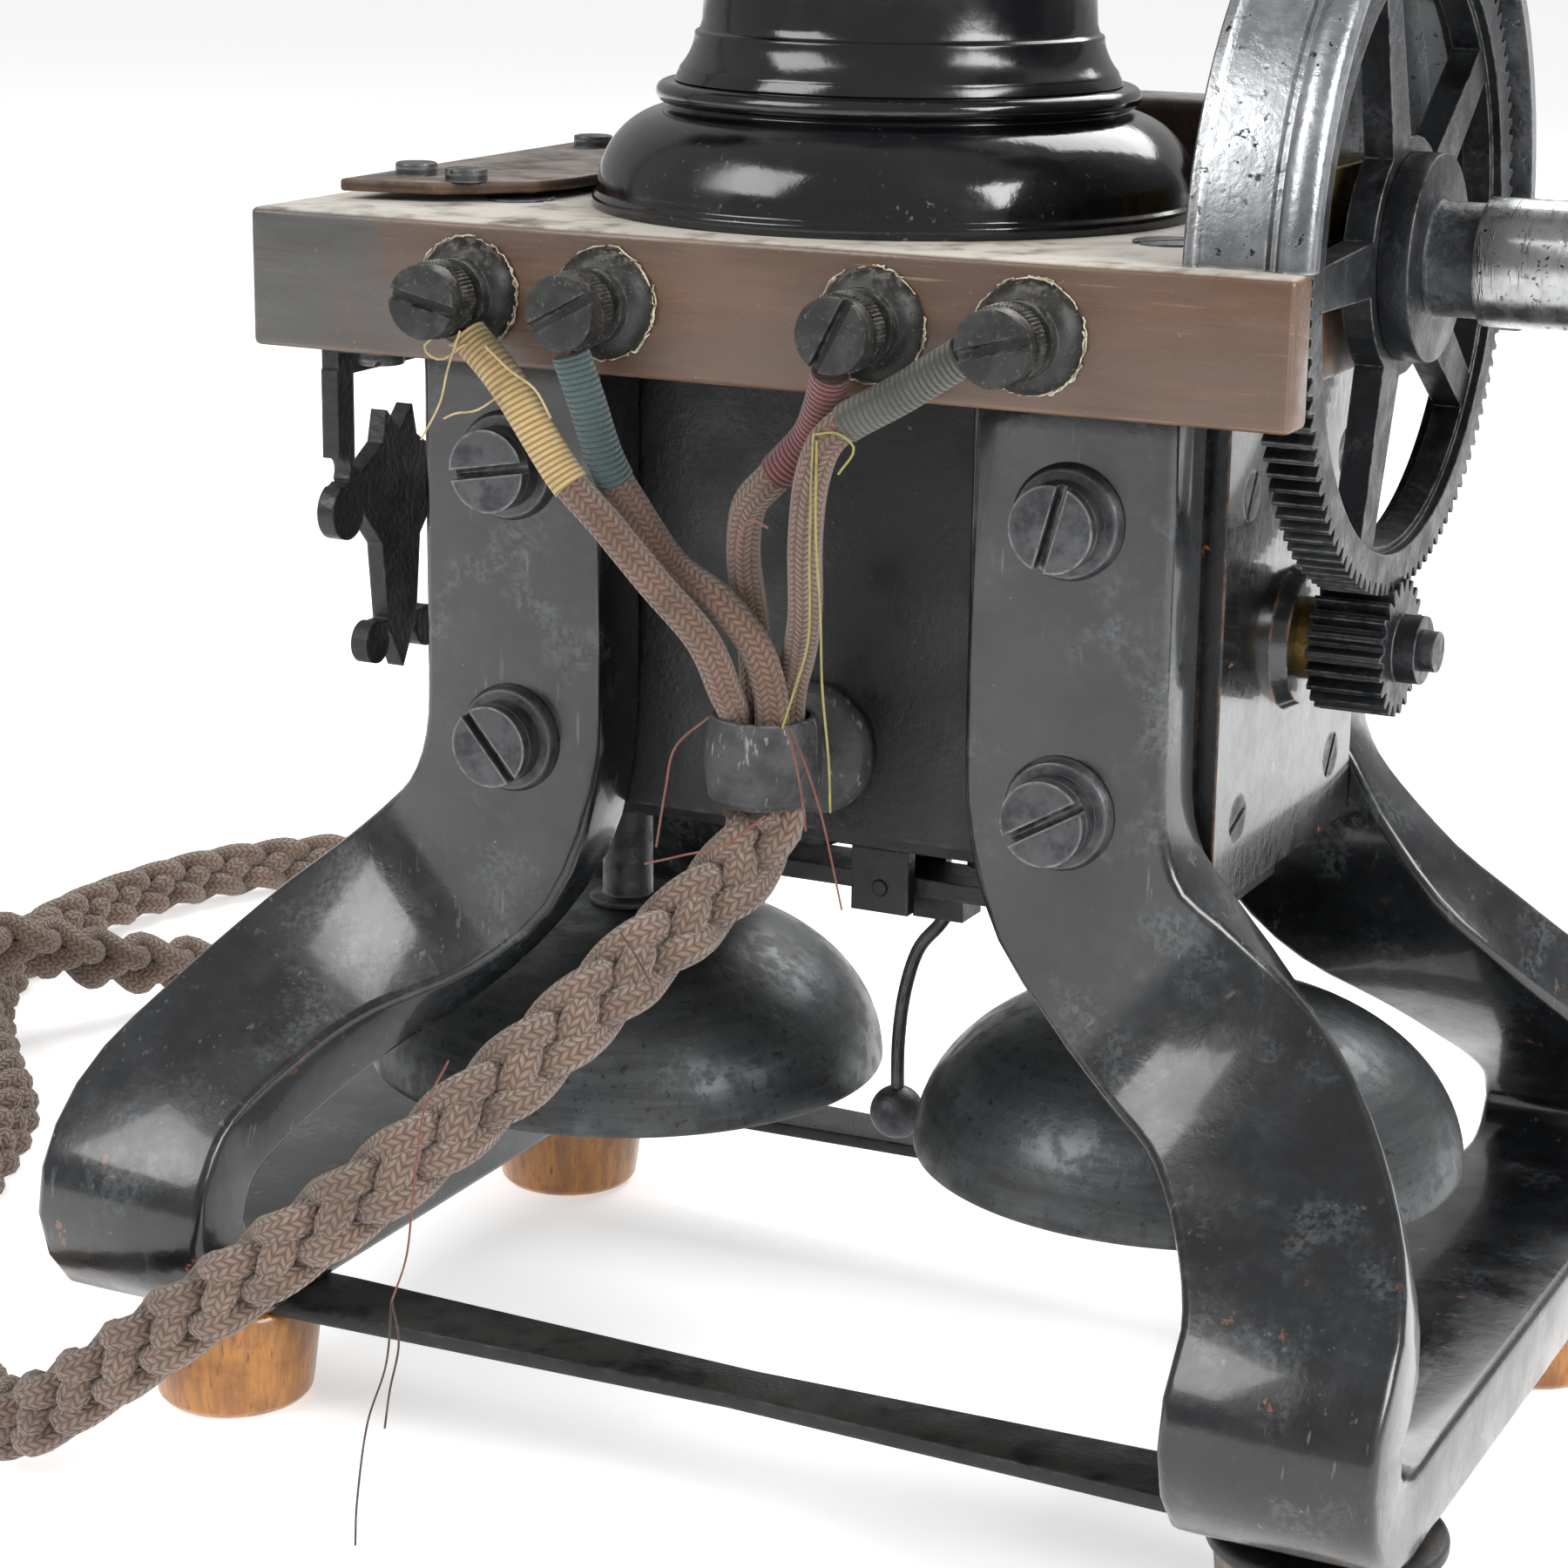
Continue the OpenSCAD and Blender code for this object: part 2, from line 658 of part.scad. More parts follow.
module foot_shape(top_r, bottom_r, height) {
    difference() {
        rotate_extrude() polygon([[0, 0], [bottom_r - 0.8, 0], [bottom_r, 0.8], [top_r, height - 0.8],
            [top_r - 0.8, height], [0, height]]);
        translate([0, 0, -1]) cylinder(h = 5, r = 4.4);
        translate([0, 0, -1]) cylinder(h = height + 2, r = 2.1);
    }
}

module feet() {
    color("#b0752c") for (p = [[-1, -1], [-1, 1], [1, 1]])
        translate([p.x * toe_x, p.y * foot_y, 0]) foot_shape(12, 10.3, foot_h);
}

module foot_front_right() {
    color("#6f6459") translate([toe_x, -foot_y, 0]) union() {
        foot_shape(13, 12, foot_h - 2);
        translate([0, 0, foot_h - 2]) difference() {
            cylinder(h = 2, r = 14);
            translate([0, 0, -1]) cylinder(h = 4, r = 2.1);
        }
    }
}

module foot_screws() {
    color("#77746c") for (sx = [-1, 1], sy = [-1, 1]) translate([sx * toe_x, sy * foot_y, 4]) union() {
        translate([0, 0, -2]) cylinder(h = 2, r = 4);
        cylinder(h = 20, r = 2);
    }
}

module cross_straps() {
    color("#141518") for (s = [-1, 1]) difference() {
        translate([0, s * foot_y, foot_h]) linear_extrude(strap_t) for (sx = [0, 1]) mirror([sx, 0])
            polygon([[0, -4], [toe_x - 16, -6], [toe_x + 7, -6], [toe_x + 7, 6], [toe_x - 16, 6], [0, 4]]);
        for (sx = [-1, 1]) translate([sx * toe_x, s * foot_y, foot_h - 1]) cylinder(h = 5, r = 2.1);
    }
}

// ---------- leads and cord ----------

// Each lead goes from its terminal down into the ring and ends where the plait begins.
lead_routes = [
    [[-32, -54.8, 145.7], [-26.7, -55, 140.5], [-19.5, -54.5, 130.3], [-14.3, -54, 125],
        [-8.7, -52.5, 118.3], [-4, -49.5, 111.6], [-2.6, -46.2, 105],
        [-2.15, -43.4, 100], [-2.15, -43.15, 90.7]],
    [[-18.4, -54.8, 144.6], [-17.1, -53.5, 139.2], [-15.6, -51.5, 132], [-13.8, -49, 126.8],
        [-9.5, -46.5, 119.4], [-3.2, -46.6, 115.6], [0.6, -45.2, 110.8], [2, -43.5, 104.7],
        [2.15, -43.15, 99], [2.15, -43.15, 90.7]],
    [[14.6, -54.6, 145], [12.5, -52.2, 140.5], [10, -50.5, 136.5], [5, -49.5, 131.4],
        [1, -47.5, 127.4], [-1.4, -44, 120.8], [-2.3, -40.2, 113.5], [-2, -39.2, 106],
        [-2.15, -38.85, 99], [-2.15, -38.85, 90.7]],
    [[30.6, -55, 148], [23.7, -55.2, 143.5], [15.8, -55.6, 138.6], [12.4, -54.2, 133.3], [9.7, -50.4, 124.8],
        [7.2, -45, 115.5], [4.6, -41, 109.5], [2.4, -38.9, 104], [2.15, -38.85, 98], [2.15, -38.85, 90.7]]];

module terminal_leads() {
    color("#5d4337") for (route = lead_routes) cord_sweep(curve(route, 3), lead_d, 8);
}

// The plaited cord: out of the ring, past the front of the left leg to the table, back behind
// the telephone, round a bend, over itself, and up to the end of the handset.
cord_route = [[0, -41, 90.4], [0, -41, 87.5], [-3, -44, 81], [-10, -56, 72], [-19, -68, 61],
    [-30, -77, 50], [-43, -82, 39], [-57, -84, 28], [-71, -84, 17], [-83, -81, 9], [-94, -74, 5.5],
    [-108, -62, 5.5], [-125, -45, 5.5], [-141, -25, 5.5], [-150, -4, 5.5], [-162, 18, 5.5],
    [-182, 39, 5.5], [-199, 60, 5.5], [-210, 85, 5.5], [-213, 112, 5.5], [-208, 138, 5.5],
    [-195, 157, 5.5], [-176, 168, 5.5], [-157, 168, 5.5], [-139, 159, 5.5], [-131, 139, 5.5],
    [-140, 119, 5.5], [-156, 107, 5.5], [-171, 91, 6], [-182, 72, 11], [-191, 53, 17.8],
    [-200, 34, 12], [-207, 14, 6.5], [-209, -6, 6.5], [-203, -22, 14], [-192, -29, 32],
    [-182, -29, 62], [-172, -26, 102], [-165, -22, 146], [-158, -17, 190], [-151, -12, 222],
    [-142, -7, 245], [-132, -2, 262], [-127.9, 0, 271], [-127.9, 0, 276.8]];

module handset_cord() {
    color("#54402f") cord_sweep(cord_route, cord_d, 10);
}

// ---------- cradle ----------

module fork_end(x) {
    translate([x - 3, 0, handle_z]) rotate([90, 0, 90]) linear_extrude(6) difference() {
        union() {
            circle(r = handle_r + 4);
            translate([-3.5, -22]) square([7, 14]);
            for (s = [-1, 1]) translate([s * 13.2, 6]) circle(r = 3.2);
        }
        circle(r = handle_r + 0.4);
        translate([-9.4, 0]) square([18.8, 30]);
    }
}

module cradle_fork() {
    color("#1a1b1e") union() {
        for (s = [-1, 1]) fork_end(s * 34);
        block([-37, -4.5, handle_z - 24], [37, 4.5, handle_z - 19]);
        translate([0, column_y, 226]) cylinder(h = handle_z - 24 - 226, r = 3);
        block([-8, column_y - 5, handle_z - 24], [8, 4.5, handle_z - 19]);
    }
}

// ---------- handset ----------

module handset_handle() {
    color("#1b120e") difference() {
        union() {
            translate([-70, 0, handle_z]) rotate([0, 90, 0]) rotate_extrude() polygon([[0, 0], [8, 0],
                [8, 4], [9.6, 8], [handle_r, 14], [handle_r, 50], [10.4, 56], [11, 70], [10.4, 84],
                [handle_r, 90], [handle_r, 126], [9.6, 132], [8, 136], [8, 140], [0, 140]]);
            for (s = [-1, 1]) translate([-24, s * 4.3, handle_z + 10.5]) cube([6, 2, 9], center = true);
        }
        tube_x(-71, 71, 3, 0, handle_z);
        tube_y(-6, 6, 1.25, lever_pivot.x, lever_pivot.z);
    }
}

module shell_outline(r) {
    for (s = [-1, 1]) translate([s * (cup_x + 8), 0, handle_z - 40]) cylinder(h = 80, r = r);
}

module handset_ferrules() {
    color("#6e7073") difference() {
        for (s = [-1, 1]) tube_x(min(s * 66, s * 81), max(s * 66, s * 81), 9.6, 0, handle_z);
        tube_x(-90, 90, 3, 0, handle_z);
        tube_x(-70.2, 70.2, 8.05, 0, handle_z);
        tube_x(-66.5, 66.5, 9.62, 0, handle_z);
        shell_outline(shell_r);
    }
}

// Hollow round case on a vertical axis, open at the bottom, with a socket for the ferrule.
module cup_case(x) {
    low = handle_z - 11;
    high = handle_z + 11;
    translate([x, 0, 0]) difference() {
        rotate_extrude()
            polygon([[0, low], [shell_r, low], [shell_r, high - 4], [shell_r - 3, high], [0, high]]);
        translate([0, 0, low - 1]) cylinder(h = high - low - 2, r = shell_r - 2.5);
    }
}

module receiver_shell() {
    color("#141518") cup_case(cup_x + 8);
}

module ear_cap() {
    color("#1a120f") translate([cup_x + 8, 0, handle_z - 21]) difference() {
        rotate_extrude()
            polygon([[5, 4], [20, 0], [26, 0], [27, 2], [27, 6], [25, 10], [0, 10], [0, 7], [5, 7]]);
        translate([0, 0, -1]) cylinder(h = 12, r = 4);
    }
}

module transmitter_shell() {
    color("#141518") cup_case(-cup_x - 8);
}

module mouthpiece() {
    color("#1a120f") translate([-cup_x - 8, 0, handle_z - 37]) rotate_extrude()
        polygon([[17, 0], [19, 0], [19.4, 1.4], [13, 9], [9, 15], [7.6, 20], [25, 22], [25, 26],
            [6, 26], [6, 19], [7.4, 14], [11.4, 8]]);
}

// Stub on the transmitter's shell that grips the end of the cord.
module cord_gland() {
    color("#55585b") difference() {
        translate([-127.9, 0, 277]) cylinder(h = 19, r = 6.1);
        translate([-cup_x - 8, 0, handle_z - 16.5]) cylinder(h = 6.2, r = 25.3);
        translate([-cup_x - 8, 0, handle_z - 11]) cylinder(h = 22, r = shell_r);
    }
}

module talk_lever() {
    color("#6e7073") union() {
        tube_y(-5.2, 5.2, 1.2, lever_pivot.x, lever_pivot.z);
        block([lever_pivot.x - 1.5, -3, handle_z + 12.6], [22, 3, handle_z + 14]);
    }
}

magnet_left();
magnet_right();
magnet_bolts();
magnet_washers();
pole_plate_front();
pole_plate_rear();
end_plate_left();
end_plate_right();
end_plate_screws();
armature_bushes();
terminal_board();
board_screws();
terminal_flanges();
terminal_screws();
arrester_plate();
rear_block();
gear_guard();
axle_block();
column_foot();
column_tube();
column_cap();
coil_bobbin();
coil_winding();
switch_block();
switch_springs();
switch_bracket_left();
cord_rosette();
cord_ring();
ringer_bar();
ringer_coils();
ringer_pivots();
bell_left();
bell_right();
bell_posts();
feet();
foot_front_right();
foot_screws();
cross_straps();
terminal_leads();
handset_cord();
gear_wheel();
wheel_hub();
axle();
crank();
crank_knob();
armature_core();
armature_winding();
armature_shaft();
pinion();
clapper_armature();
clapper();
cradle_fork();
handset_handle();
handset_ferrules();
receiver_shell();
ear_cap();
transmitter_shell();
mouthpiece();
cord_gland();
talk_lever();
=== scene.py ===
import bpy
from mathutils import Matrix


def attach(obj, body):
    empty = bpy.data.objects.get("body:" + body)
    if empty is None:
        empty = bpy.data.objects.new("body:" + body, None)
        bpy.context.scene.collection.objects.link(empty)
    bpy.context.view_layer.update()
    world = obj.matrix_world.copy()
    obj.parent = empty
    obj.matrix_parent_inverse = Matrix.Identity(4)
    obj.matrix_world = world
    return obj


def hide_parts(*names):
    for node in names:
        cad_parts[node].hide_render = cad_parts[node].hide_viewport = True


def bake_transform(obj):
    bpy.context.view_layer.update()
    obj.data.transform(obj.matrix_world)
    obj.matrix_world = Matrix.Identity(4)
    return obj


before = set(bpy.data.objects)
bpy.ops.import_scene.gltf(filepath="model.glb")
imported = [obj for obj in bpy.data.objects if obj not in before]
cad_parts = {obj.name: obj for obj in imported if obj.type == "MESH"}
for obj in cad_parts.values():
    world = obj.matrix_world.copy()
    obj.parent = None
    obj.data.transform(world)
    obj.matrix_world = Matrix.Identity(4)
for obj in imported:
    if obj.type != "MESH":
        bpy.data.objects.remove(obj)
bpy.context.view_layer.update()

import math
import random

import bmesh
import bpy
from mathutils import Matrix, Vector

MM = 0.001

# ---------- camera ----------
# It stands at the telephone's right front, a little above the board, and looks down on the
# generator. A long lens keeps the upright legs nearly parallel.
CAMERA_AT = (0.1893, -0.4214, 0.2066)
CAMERA_TURNS = [("Z", 26.12), ("X", 90 - 15.01), ("Z", 0.72)]
LENS = 84.64
SENSOR_WIDTH = 36
NEAREST_SEEN = 0.02

camera = bpy.data.objects.new("camera", bpy.data.cameras.new("camera"))
camera.data.lens = LENS
camera.data.sensor_width = SENSOR_WIDTH
camera.data.clip_start = NEAREST_SEEN
view = Matrix.Translation(CAMERA_AT)
for axis, degrees in CAMERA_TURNS:
    view = view @ Matrix.Rotation(math.radians(degrees), 4, axis)
camera.matrix_world = view
bpy.context.collection.objects.link(camera)
bpy.context.scene.camera = camera

# ---------- handset cord ----------
# Four brown cotton strands plaited into a limp cord 11 mm thick. It leaves the ring on the
# generator's front, lies on the table behind the telephone and goes up to the handset.
CORD_ROUTE = [
    (0, -41, 90.4), (0, -41, 87.5), (-3, -44, 81), (-10, -56, 72), (-19, -68, 61), (-30, -77, 50),
    (-43, -82, 39), (-57, -84, 28), (-71, -84, 17), (-83, -81, 9), (-94, -74, 5.5), (-108, -62, 5.5),
    (-125, -45, 5.5), (-141, -25, 5.5), (-150, -4, 5.5), (-162, 18, 5.5), (-182, 39, 5.5),
    (-199, 60, 5.5), (-210, 85, 5.5), (-213, 112, 5.5), (-208, 138, 5.5), (-195, 157, 5.5),
    (-176, 168, 5.5), (-157, 168, 5.5), (-139, 159, 5.5), (-131, 139, 5.5), (-140, 119, 5.5),
    (-156, 107, 5.5), (-171, 91, 6), (-182, 72, 11), (-191, 53, 17.8), (-200, 34, 12), (-207, 14, 6.5),
    (-209, -6, 6.5), (-203, -22, 14), (-192, -29, 32), (-182, -29, 62), (-172, -26, 102),
    (-165, -22, 146), (-158, -17, 190), (-151, -12, 222), (-142, -7, 245), (-132, -2, 262),
    (-127.9, 0, 271), (-127.9, 0, 276.8)]
STRAND_R = 2.1
PLAIT_TURN = 36.0
PLAIT_SWING = 2.9
PLAIT_DEPTH = 2.3
PLAIT_STRANDS = 4
CORD_STEP = 1.3
VIEW_SIDE = math.radians(26)
CORD_DUST = "#c9bfae"
CURVE_CUTS = 12


def colour(code):
    """An sRGB hex value as linear red, green, blue and alpha."""
    parts = [int(code[i:i + 2], 16) / 255 for i in (1, 3, 5)]
    return [c / 12.92 if c <= 0.04045 else ((c + 0.055) / 1.055) ** 2.4 for c in parts] + [1]


def add(tree, kind, inputs, **settings):
    """Adds one node, sets it, links or fills its inputs, and gives back its outputs."""
    node = tree.nodes.new(kind)
    for name, value in settings.items():
        setattr(node, name, value)
    for socket, value in inputs.items():
        if isinstance(value, bpy.types.NodeSocket):
            tree.links.new(value, node.inputs[socket])
        else:
            node.inputs[socket].default_value = value
    return node.outputs


def new_finish(name):
    """An empty material, and its tree to fill."""
    made = bpy.data.materials.new(name)
    made.use_nodes = True
    made.node_tree.nodes.clear()
    return made, made.node_tree


def lit(tree, shade, rough, normal=None, **more):
    """Closes a material with one shader. Each further socket is named in lower case."""
    sockets = {"Base Color": shade, "Roughness": rough}
    if normal is not None:
        sockets["Normal"] = normal
    for name, value in more.items():
        sockets[name.replace("_", " ").title().replace("Ior", "IOR")] = value
    shader = add(tree, "ShaderNodeBsdfPrincipled", sockets)["BSDF"]
    add(tree, "ShaderNodeOutputMaterial", {"Surface": shader})


def coats(tree, ground, *layers):
    """Lays each (mask, colour code) over the ground colour."""
    below = ground if isinstance(ground, bpy.types.NodeSocket) else colour(ground)
    for mask, code in layers:
        below = add(tree, "ShaderNodeMix", {0: mask, 6: below, 7: colour(code)}, data_type="RGBA")[2]
    return below


def clouds(tree, size, low, high, top=1.0, stretch=(1, 1, 1), seed=0.0, detail=5.0):
    """A cloudy mask from 0 to top, whose blobs are about size mm wide."""
    where = add(tree, "ShaderNodeTexCoord", {})["Object"]
    placed = add(tree, "ShaderNodeMapping", {"Vector": where, "Location": (seed, seed, seed),
                                             "Scale": stretch})[0]
    noise = add(tree, "ShaderNodeTexNoise", {"Vector": placed, "Scale": 1 / (size * MM), "Detail": detail,
                                             "Roughness": 0.6})[0]
    return add(tree, "ShaderNodeMapRange", {"Value": noise, "From Min": low, "From Max": high, "To Max": top},
               interpolation_type="SMOOTHSTEP")[0]


def patchy(tree, size, smooth, dull, stretch=(1, 1, 1)):
    """Roughness that goes from smooth to dull in clouds size mm wide."""
    return add(tree, "ShaderNodeMapRange", {"Value": clouds(tree, size, 0.3, 0.7, stretch=stretch),
                                            "To Min": smooth, "To Max": dull})[0]


def uneven(tree, height, depth, strength=0.4, radius=0.0):
    """Fine relief, depth mm deep. With a radius in mm it also rounds the edges of a plain solid."""
    sockets = {"Strength": strength, "Distance": depth * MM, "Height": height}
    if radius:
        sockets["Normal"] = add(tree, "ShaderNodeBevel", {"Radius": radius * MM}, samples=4)[0]
    return add(tree, "ShaderNodeBump", sockets)[0]


def top_dust(tree, low, high, amount):
    """Where dust lies: the faces that look up."""
    normal = add(tree, "ShaderNodeNewGeometry", {})["Normal"]
    upward = add(tree, "ShaderNodeSeparateXYZ", {0: normal})[2]
    return add(tree, "ShaderNodeMapRange", {"Value": upward, "From Min": low, "From Max": high,
                                            "To Max": amount})[0]


def level(tree, low, high, amount=1.0):
    """A mask that goes from 0 at the height low to amount at the height high, in metres."""
    where = add(tree, "ShaderNodeTexCoord", {})["Object"]
    height = add(tree, "ShaderNodeSeparateXYZ", {0: where})[2]
    return add(tree, "ShaderNodeMapRange", {"Value": height, "From Min": low, "From Max": high,
                                            "To Max": amount})[0]


def product(tree, *masks):
    """All masks multiplied together."""
    result = masks[0]
    for mask in masks[1:]:
        result = add(tree, "ShaderNodeMath", {0: result, 1: mask}, operation="MULTIPLY")[0]
    return result


def smooth_line(points, step):
    """A smooth curve through the points, cut into even steps (mm)."""
    way = [Vector(p) for p in points]
    ends = [2 * way[0] - way[1]] + way + [2 * way[-1] - way[-2]]
    fine = []
    for a, b, c, d in zip(ends, ends[1:], ends[2:], ends[3:]):
        for i in range(CURVE_CUTS):
            t = i / CURVE_CUTS
            fine.append(0.5 * (2 * b + (c - a) * t + (2 * a - 5 * b + 4 * c - d) * t ** 2
                               + (3 * b - a - 3 * c + d) * t ** 3))
    fine.append(way[-1])
    run = [0.0]
    for a, b in zip(fine, fine[1:]):
        run.append(run[-1] + (b - a).length)
    count = max(2, round(run[-1] / step))
    even = []
    place = 0
    for k in range(count + 1):
        target = run[-1] * k / count
        while place < len(fine) - 2 and run[place + 1] < target:
            place += 1
        share = (target - run[place]) / (run[place + 1] - run[place])
        even.append(fine[place].lerp(fine[place + 1], share))
    return even


def line_length(points):
    """The length of the line through the points."""
    return sum((b - a).length for a, b in zip(points, points[1:]))


def carried_sides(points, side):
    """Two directions across the line at each point, carried along it without a twist."""
    sides = []
    for i in range(len(points)):
        along = (points[min(i + 1, len(points) - 1)] - points[max(i - 1, 0)]).normalized()
        side = (side - along * side.dot(along)).normalized()
        sides.append((side, along.cross(side)))
    return sides


def laid(name, routes, radius, sides=10):
    """Round threads along the routes (mm) as one mesh. Its UV map holds the share of the way
    round and the length along in mm."""
    curve = bpy.data.curves.new(name, "CURVE")
    curve.dimensions = "3D"
    curve.bevel_depth = radius * MM
    curve.bevel_resolution = sides // 2 - 2
    curve.use_fill_caps = True
    for route in routes:
        spline = curve.splines.new("POLY")
        spline.points.add(len(route) - 1)
        for point, place in zip(spline.points, route):
            point.co = (*(place * MM), 1)
    form = bpy.data.objects.new(name, curve)
    bpy.context.collection.objects.link(form)
    mesh = bpy.data.meshes.new_from_object(form.evaluated_get(bpy.context.evaluated_depsgraph_get()))
    bpy.data.objects.remove(form)
    mesh.name = name
    for corner in mesh.uv_layers[0].data:
        corner.uv = (corner.uv.y, corner.uv.x * line_length(routes[0]))
    mesh.shade_smooth()
    return mesh


def stand(name, mesh, finish, body="frame", replaced=()):
    """Makes the piece: its object, finish, the body it rides on and what it replaces."""
    mesh.materials.clear()
    mesh.materials.append(finish)
    made = bpy.data.objects.new(name, mesh)
    bpy.context.collection.objects.link(made)
    if body:
        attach(made, body)
    if replaced:
        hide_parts(*replaced)
    return made


def cotton(name, light, dark, columns, pitch, lean, depth):
    """Cotton threads in rows round a cord: each stitch is pitch mm long and leans to and fro
    by lean stitches from row to row. Matt, with fuzz that catches the light."""
    finish, tree = new_finish(name)
    uv = add(tree, "ShaderNodeUVMap", {}, uv_map="UVMap")[0]
    split = add(tree, "ShaderNodeSeparateXYZ", {0: uv})
    row = add(tree, "ShaderNodeMath", {0: split[0], 1: columns}, operation="MULTIPLY")[0]
    zigzag = add(tree, "ShaderNodeMath", {0: row, 1: 1.0}, operation="PINGPONG")[0]
    along = add(tree, "ShaderNodeMath", {0: split[1], 1: pitch}, operation="DIVIDE")[0]
    leaning = add(tree, "ShaderNodeMath", {0: zigzag, 1: lean, 2: along}, operation="MULTIPLY_ADD")[0]
    humps = []
    for wave in (leaning, row):
        for operation in ("MULTIPLY", "SINE", "ABSOLUTE"):
            wave = add(tree, "ShaderNodeMath", {0: wave, 1: math.pi}, operation=operation)[0]
        humps.append(wave)
    stitch, ridge = humps
    ridge = add(tree, "ShaderNodeMath", {0: ridge, 1: 0.4}, operation="POWER")[0]
    height = product(tree, stitch, ridge)
    fuzz = clouds(tree, 0.5, 0.3, 0.7)
    wear_and_painted_shade = clouds(tree, 9, 0.4, 0.75, 0.5)
    dirt = clouds(tree, 4, 0.55, 0.8, 0.4, seed=3)
    dust = product(tree, top_dust(tree, 0.35, 1.0, 0.45), fuzz)
    shadow = add(tree, "ShaderNodeMapRange", {"Value": height, "From Min": 0.15, "From Max": 0.8,
                                              "To Min": 0.7, "To Max": 0.0})[0]
    shade = coats(tree, light, (wear_and_painted_shade, dark), (dust, CORD_DUST), (dirt, dark), (shadow, dark))
    rough_height = add(tree, "ShaderNodeMath", {0: fuzz, 1: 0.25, 2: height}, operation="MULTIPLY_ADD")[0]
    lit(tree, shade, 0.92, uneven(tree, rough_height, depth, 1.0), sheen_weight=0.3, sheen_roughness=0.5)
    return finish


cord_line = smooth_line(CORD_ROUTE, CORD_STEP)
cord_sides = carried_sides(cord_line, Vector((math.cos(VIEW_SIDE), math.sin(VIEW_SIDE), 0)))
strands = []
for strand in range(PLAIT_STRANDS):
    route = []
    for i, (centre, (side, face)) in enumerate(zip(cord_line, cord_sides)):
        angle = math.tau * (i * CORD_STEP / PLAIT_TURN + strand / PLAIT_STRANDS)
        route.append(centre + side * PLAIT_SWING * math.sin(angle)
                     + face * PLAIT_DEPTH * math.cos(3 * angle))
    strands.append(route)
plait_cotton = cotton("plaited_cotton", "#876f5f", "#3d2e27", 14, 0.9, 0.8, 0.25)
handset_cord = stand("handset_cord_plait", laid("handset_cord_plait", strands, STRAND_R), plait_cotton,
                     None)
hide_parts("handset_cord")
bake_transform(handset_cord)

# ---------- terminal leads ----------
# Four wires in herringbone cotton sleeves 4 mm thick, from the terminals into the ring. Each is
# whipped with a thread of its own colour at the top, and its bare end goes under the screw.
LEAD_ROUTES = [
    [(-32, -54.8, 145.7), (-26.7, -55, 140.5), (-19.5, -54.5, 130.3), (-14.3, -54, 125), (-8.7, -52.5, 118.3),
     (-4, -49.5, 111.6), (-2.6, -46.2, 105), (-2.15, -43.4, 100), (-2.15, -43.15, 90.7)],
    [(-18.4, -54.8, 144.6), (-17.1, -53.5, 139.2), (-15.6, -51.5, 132), (-13.8, -49, 126.8),
     (-9.5, -46.5, 119.4), (-3.2, -46.6, 115.6), (0.6, -45.2, 110.8), (2, -43.5, 104.7), (2.15, -43.15, 99),
     (2.15, -43.15, 90.7)],
    [(14.6, -54.6, 145), (12.5, -52.2, 140.5), (10, -50.5, 136.5), (5, -49.5, 131.4), (1, -47.5, 127.4),
     (-1.4, -44, 120.8), (-2.3, -40.2, 113.5), (-2, -39.2, 106), (-2.15, -38.85, 99), (-2.15, -38.85, 90.7)],
    [(30.6, -55, 148), (23.7, -55.2, 143.5), (15.8, -55.6, 138.6), (12.4, -54.2, 133.3), (9.7, -50.4, 124.8),
     (7.2, -45, 115.5), (4.6, -41, 109.5), (2.4, -38.9, 104), (2.15, -38.85, 98), (2.15, -38.85, 90.7)]]
LEAD_R = 2.05
LEAD_STEP = 0.8
WHIPPING_T = 0.22
WIRE_R = 0.45
WIRE_OUT = 5.4
WIRE_TURN = 2.6
LOOSE_R = 0.14
WHIPPINGS = [("cream", 22, "#c2a66f", "#6d5330"), ("blue_green", 17, "#3d5655", "#172423"),
             ("maroon", 18, "#74302f", "#321214"), ("olive_grey", 17, "#5f5f57", "#272824")]
TERMINAL_X = [-35.2, -17, 17, 36]
TERMINAL_Z = 149.8
BOARD_FRONT = 49

sleeve_cotton = cotton("braided_sleeve_cotton", "#7d604f", "#3a2a22", 14, 0.9, 0.8, 0.25)
wire_copper, tree = new_finish("tarnished_copper_wire")
lit(tree, coats(tree, "#8a5a3c", (clouds(tree, 1, 0.4, 0.7), "#3b2a22")), 0.5, metallic=1.0)
lead_lines = [smooth_line(route, LEAD_STEP) for route in LEAD_ROUTES]
for number, line in enumerate(lead_lines):
    sleeve = stand(f"terminal_lead_{number + 1}", laid("lead", [line], LEAD_R, 16), sleeve_cotton)
    name, length, light, dark = WHIPPINGS[number]
    thread = cotton(f"{name}_whipping_thread", light, dark, 1, 0.7, 1.0, 0.3)
    whipped = line[:round(length / LEAD_STEP)]
    stand(f"lead_whipping_{name}", laid("whipping", [whipped], LEAD_R + WHIPPING_T, 16), thread)
    start = line[0]
    post = Vector((TERMINAL_X[number], -BOARD_FRONT - WIRE_OUT, TERMINAL_Z))
    aim = (start - post).normalized()
    bend = aim.cross(Vector((0, 1, 0)))
    wire = [start + (line[1] - start).normalized() * 3, start]
    wire += [post + way * WIRE_TURN for way in (aim, bend, -aim, -bend)]
    stand(f"lead_bare_end_{number + 1}", laid("wire", [smooth_line(wire, 0.5)], WIRE_R, 8), wire_copper)
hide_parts("terminal_leads")

